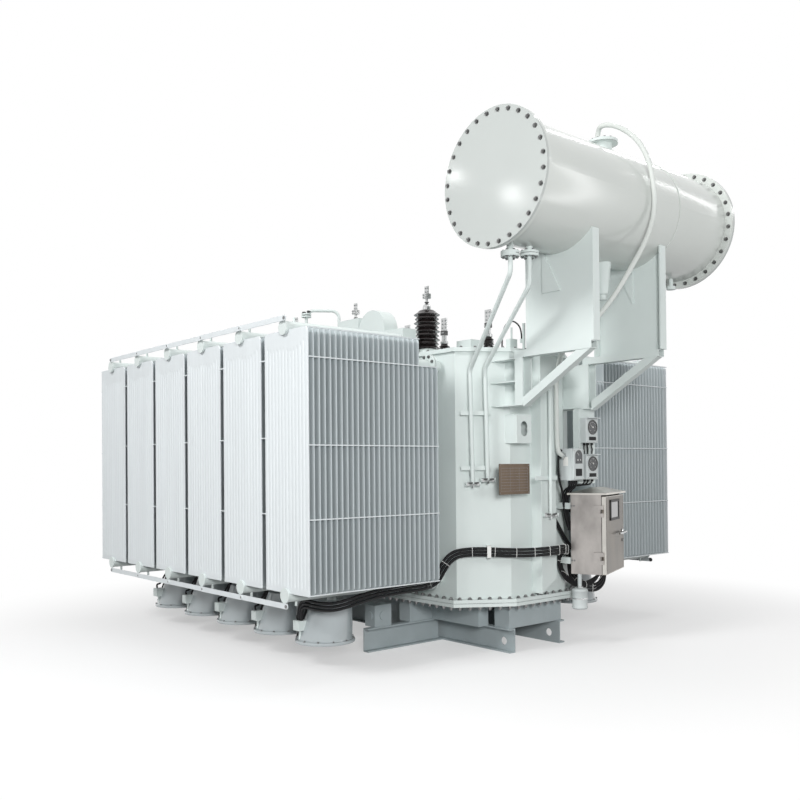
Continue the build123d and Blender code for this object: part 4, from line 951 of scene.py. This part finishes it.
BREATHER_ROUTE = [
    (2415, 60, 3772), (2415, 60, 3838), (2480, 20, 3862), (2570, 50, 3842), (2665, 95, 3772),
    (2755, 102, 3665), (2835, 88, 3510), (2864, 90, 3345), (2866, 97, 3195), (2848, 78, 3060),
    (2808, 40, 2925), (2742, -10, 2780), (2675, -95, 2600), (2590, -170, 2450), (2440, -205, 2330),
    (2270, -160, 2265), (2100, -30, 2180), (2010, 51, 2030), (2010, 52, 1800), (2010, 54, 1560),
    (2008, 78, 1486), (2004, 140, 1478),
]


def make_breather():
    """The breather pipe, over the vessel, between the saddles and down to the relay, with its unions."""
    maker = Maker("breather_tube", VESSEL_PAINT, BRIGHT)
    maker.wire(BREATHER_ROUTE, 17.9, 20)
    maker.use(BRIGHT)
    maker.rod((2004, 116, 1478), (2004, 139, 1478), 27, 6)
    maker.rod((2415, 60, 3773), (2415, 60, 3796), 27, 6)
    maker.make(stands_for=["breather_pipe"])


def make_post_webs():
    """Plates that close the inner side of each post, between its shelves and the tank."""
    maker = Maker("post_webs", PAINT)
    inner, outer = 327, 335
    wall = SHOULDER + (TANK_X - SHOULDER) * (TANK_Y - inner) / (TANK_Y - END_Y)
    for side in (-1, 1):
        maker.box(wall - 8, 2022, *sorted((side * inner, side * outer)), 1842, 2190)
    maker.make()


def make_canister():
    """The drying canister: a plain painted can with rolled rims, hung by a pipe from the cabinet's foot."""
    maker = Maker("drying_canister", CAST, BRIGHT)
    at = (2045, 265, 0)
    maker.lathe([(16, 566), (16, 456), (44, 454), (57, 448), (61, 440), (61, 432), (58, 428), (58, 318),
                 (61, 314), (61, 304), (54, 297), (30, 293), (0, 292)], at, 56)
    maker.use(BRIGHT)
    maker.lathe([(23, 457), (26, 459), (26, 466), (23, 468), (19, 468)], at, 32)
    maker.lathe([(58.4, 372), (60, 374), (60, 380), (58.4, 382)], at, 56)
    maker.make(stands_for=["breather_canister"])


def make_nameplate():
    """A bare metal plate with a raised edge, faint empty rows and columns, and four rivets."""
    maker = Maker("bare_nameplate", BRASS, BOLT)
    front = 1959
    (y0, y1), (z0, z1) = ys, zs = (-536, -206), (1195, 1419)
    maker.box(front - 2, front, y0, y1, z0, z1)
    border(maker, front, front + 1, ys, zs, 6, 6)
    maker.use(BOLT)
    for i in range(9):
        z = z0 + 24 + 21 * i
        maker.box(front, front + 0.5, y0 + 20, y1 - 20, z, z + 1.6)
    for y in (y0 + 20, y0 + 118, y0 + 216, y1 - 20):
        maker.box(front, front + 0.5, y, y + 1.6, z0 + 24, z1 - 30)
    rivet = [(4, front), (3.5, front + 1.5), (2, front + 2.5), (0, front + 3)]
    for y in (y0 + 11, y1 - 11):
        for z in (z0 + 11, z1 - 11):
            maker.lathe(rivet, (0, y, z), 12, "x")
    maker.make(stands_for=["nameplate"])


def make_gusset():
    """The three-cornered stiffener on the far saddle's inner face."""
    maker = Maker("saddle_gusset", PAINT)
    corners = [(2298, 2929), (2456, 2614), (2456, 2900)]
    points = [(x, y, z) for y in (403, 415) for x, z in corners]
    maker.add(points, [(0, 1, 2), (5, 4, 3), (0, 3, 4, 1), (1, 4, 5, 2), (2, 5, 3, 0)])
    maker.make()


# The CAD's own pieces, the stage and the light


def dress_nodes():
    """Gives every CAD piece that still shows a paint or metal, with painted shade on the vessel's covers and
    the cabinet's door, and smooth round faces.
    """
    used = {"rim_gasket": GASKET, "cabinet_case": STEEL, "cabinet_roof": ROOF, "cabinet_door": SHADED_DOOR_STEEL,
            "cabinet_hinges": STEEL, "vessel_barrel": VESSEL_PAINT, "vessel_covers": SHADED_COVER_PAINT}
    for name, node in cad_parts.items():
        cover = used.get(name, PAINT)
        if name.startswith(("rail", "cross_beam", "bearer", "sill")):
            cover = BASE
        if name in ("panel_bars", "header_straps"):
            cover = PANEL
        node.data.materials.clear()
        node.data.materials.append(cover)
        node.data.polygons.foreach_set("use_smooth", [True] * len(node.data.polygons))
        node.data.set_sharp_from_angle(angle=radians(30))


def seen_by_eye(tree):
    """1 for rays from the camera and for their reflections, 0 for the light that falls on things."""
    path = tree.nodes.new("ShaderNodeLightPath")
    level = path.outputs["Is Camera Ray"]
    for other in ("Is Glossy Ray", "Is Transmission Ray"):
        highest = tree.nodes.new("ShaderNodeMath")
        highest.operation = "MAXIMUM"
        tree.links.new(level, highest.inputs[0])
        tree.links.new(path.outputs[other], highest.inputs[1])
        level = highest.outputs[0]
    return level


def make_stage():
    """A pale floor that fades to white away from the object and keeps its shadow."""
    reach, near, far = 60, 2.6, 5.0
    pale = bpy.data.materials.new("floor")
    pale.use_nodes = True
    tree = pale.node_tree
    link = tree.links.new
    shader = tree.nodes["Principled BSDF"]
    set_inputs(shader, {"Roughness": 0.95})
    eye = seen_by_eye(tree)
    tone = tree.nodes.new("ShaderNodeMapRange")
    set_inputs(tone, {"To Min": 0.30, "To Max": 0.90})
    link(eye, tone.inputs["Value"])
    link(tone.outputs["Result"], shader.inputs["Base Color"])
    place = tree.nodes.new("ShaderNodeTexCoord")
    away = tree.nodes.new("ShaderNodeVectorMath")
    away.operation = "LENGTH"
    link(place.outputs["Object"], away.inputs[0])
    fade = tree.nodes.new("ShaderNodeMapRange")
    fade.interpolation_type = "SMOOTHSTEP"
    set_inputs(fade, {"From Min": near, "From Max": far, "To Min": 0.45, "To Max": 1.0})
    link(away.outputs["Value"], fade.inputs["Value"])
    share = tree.nodes.new("ShaderNodeMath")
    share.operation = "MULTIPLY"
    link(eye, share.inputs[0])
    link(fade.outputs["Result"], share.inputs[1])
    white = tree.nodes.new("ShaderNodeEmission")
    set_inputs(white, {"Color": (1, 1, 1, 1)})
    blend = tree.nodes.new("ShaderNodeMixShader")
    link(share.outputs[0], blend.inputs["Fac"])
    link(shader.outputs["BSDF"], blend.inputs[1])
    link(white.outputs["Emission"], blend.inputs[2])
    link(blend.outputs["Shader"], tree.nodes["Material Output"].inputs["Surface"])
    floor = bpy.data.meshes.new("floor")
    floor.from_pydata([(-reach, -reach, 0), (reach, -reach, 0), (reach, reach, 0), (-reach, reach, 0)], [],
                      [(0, 1, 2, 3)])
    floor.materials.append(pale)
    add_object("floor", floor)


# Each lamp's name, place, target, sides in metres and watts
LAMPS = [
    ("key", (0.8, -9.5, 8.0), (-0.2, 0, 1.4), (3.5, 3.5), 680),
    ("side", (8.0, -5.5, 2.8), (1.0, -0.3, 1.5), (2.0, 2.0), 420),
    ("top", (0.5, 1.0, 9.0), (0.3, 0, 1.5), (5.0, 5.0), 200),
    ("streak_high", (1.45, 1.6, 5.6), (1.955, 0, 3.3), (0.12, 3.6), 14),
    ("streak_low", (4.5, 1.9, 3.05), (1.955, 0.2, 3.27), (0.12, 3.4), 15),
    ("streak_far", (3.45, 3.6, 4.75), (1.955, 1.0, 3.3), (0.10, 2.2), 9),
    ("round_left", (-1.14, -3.7, 4.62), (1.6, -1.1, 3.3), (0.12, 0.12), 0.8),
    ("round_right", (-0.45, -3.9, 4.28), (1.9, -1.1, 3.2), (0.20, 0.20), 1.3),
]
# Lamps at least this broad, in metres, light the object but aren't mirrored in it
BROAD = 1


def make_light():
    """A white studio: an even sky, broad lamps, and small ones that the glossy vessel mirrors."""
    world = bpy.data.worlds.new("world")
    bpy.context.scene.world = world
    world.use_nodes = True
    tree = world.node_tree
    back = tree.nodes["Background"]
    set_inputs(back, {"Color": (1, 1, 1, 1)})
    level = tree.nodes.new("ShaderNodeMapRange")
    set_inputs(level, {"To Min": 0.34, "To Max": 1.0})
    tree.links.new(seen_by_eye(tree), level.inputs["Value"])
    tree.links.new(level.outputs["Result"], back.inputs["Strength"])
    for name, at, target, size, power in LAMPS:
        lamp = bpy.data.lights.new(name, "AREA")
        lamp.shape = "RECTANGLE" if size[0] != size[1] else "DISK"
        lamp.size, lamp.size_y = size
        lamp.energy = power
        made = add_object(name, lamp)
        made.location = at
        made.rotation_euler = (Vector(target) - Vector(at)).to_track_quat("-Z", "Y").to_euler()
        made.visible_glossy = min(size) < BROAD


make_camera()
dress_nodes()
make_radiators()
make_rim_bolts()
make_cover_bolts()
make_vessel_bolts()
make_pipe_bolts()
make_strap_bolts()
make_bushings()
make_terminals()
make_gauges()
make_wiring()
make_cabinet_trim()
make_cables()
make_fans()
make_pipe_fittings()
make_breather()
make_post_webs()
make_canister()
make_nameplate()
make_gusset()
make_stage()
make_light()

bpy.context.scene.view_settings.view_transform = "Standard"
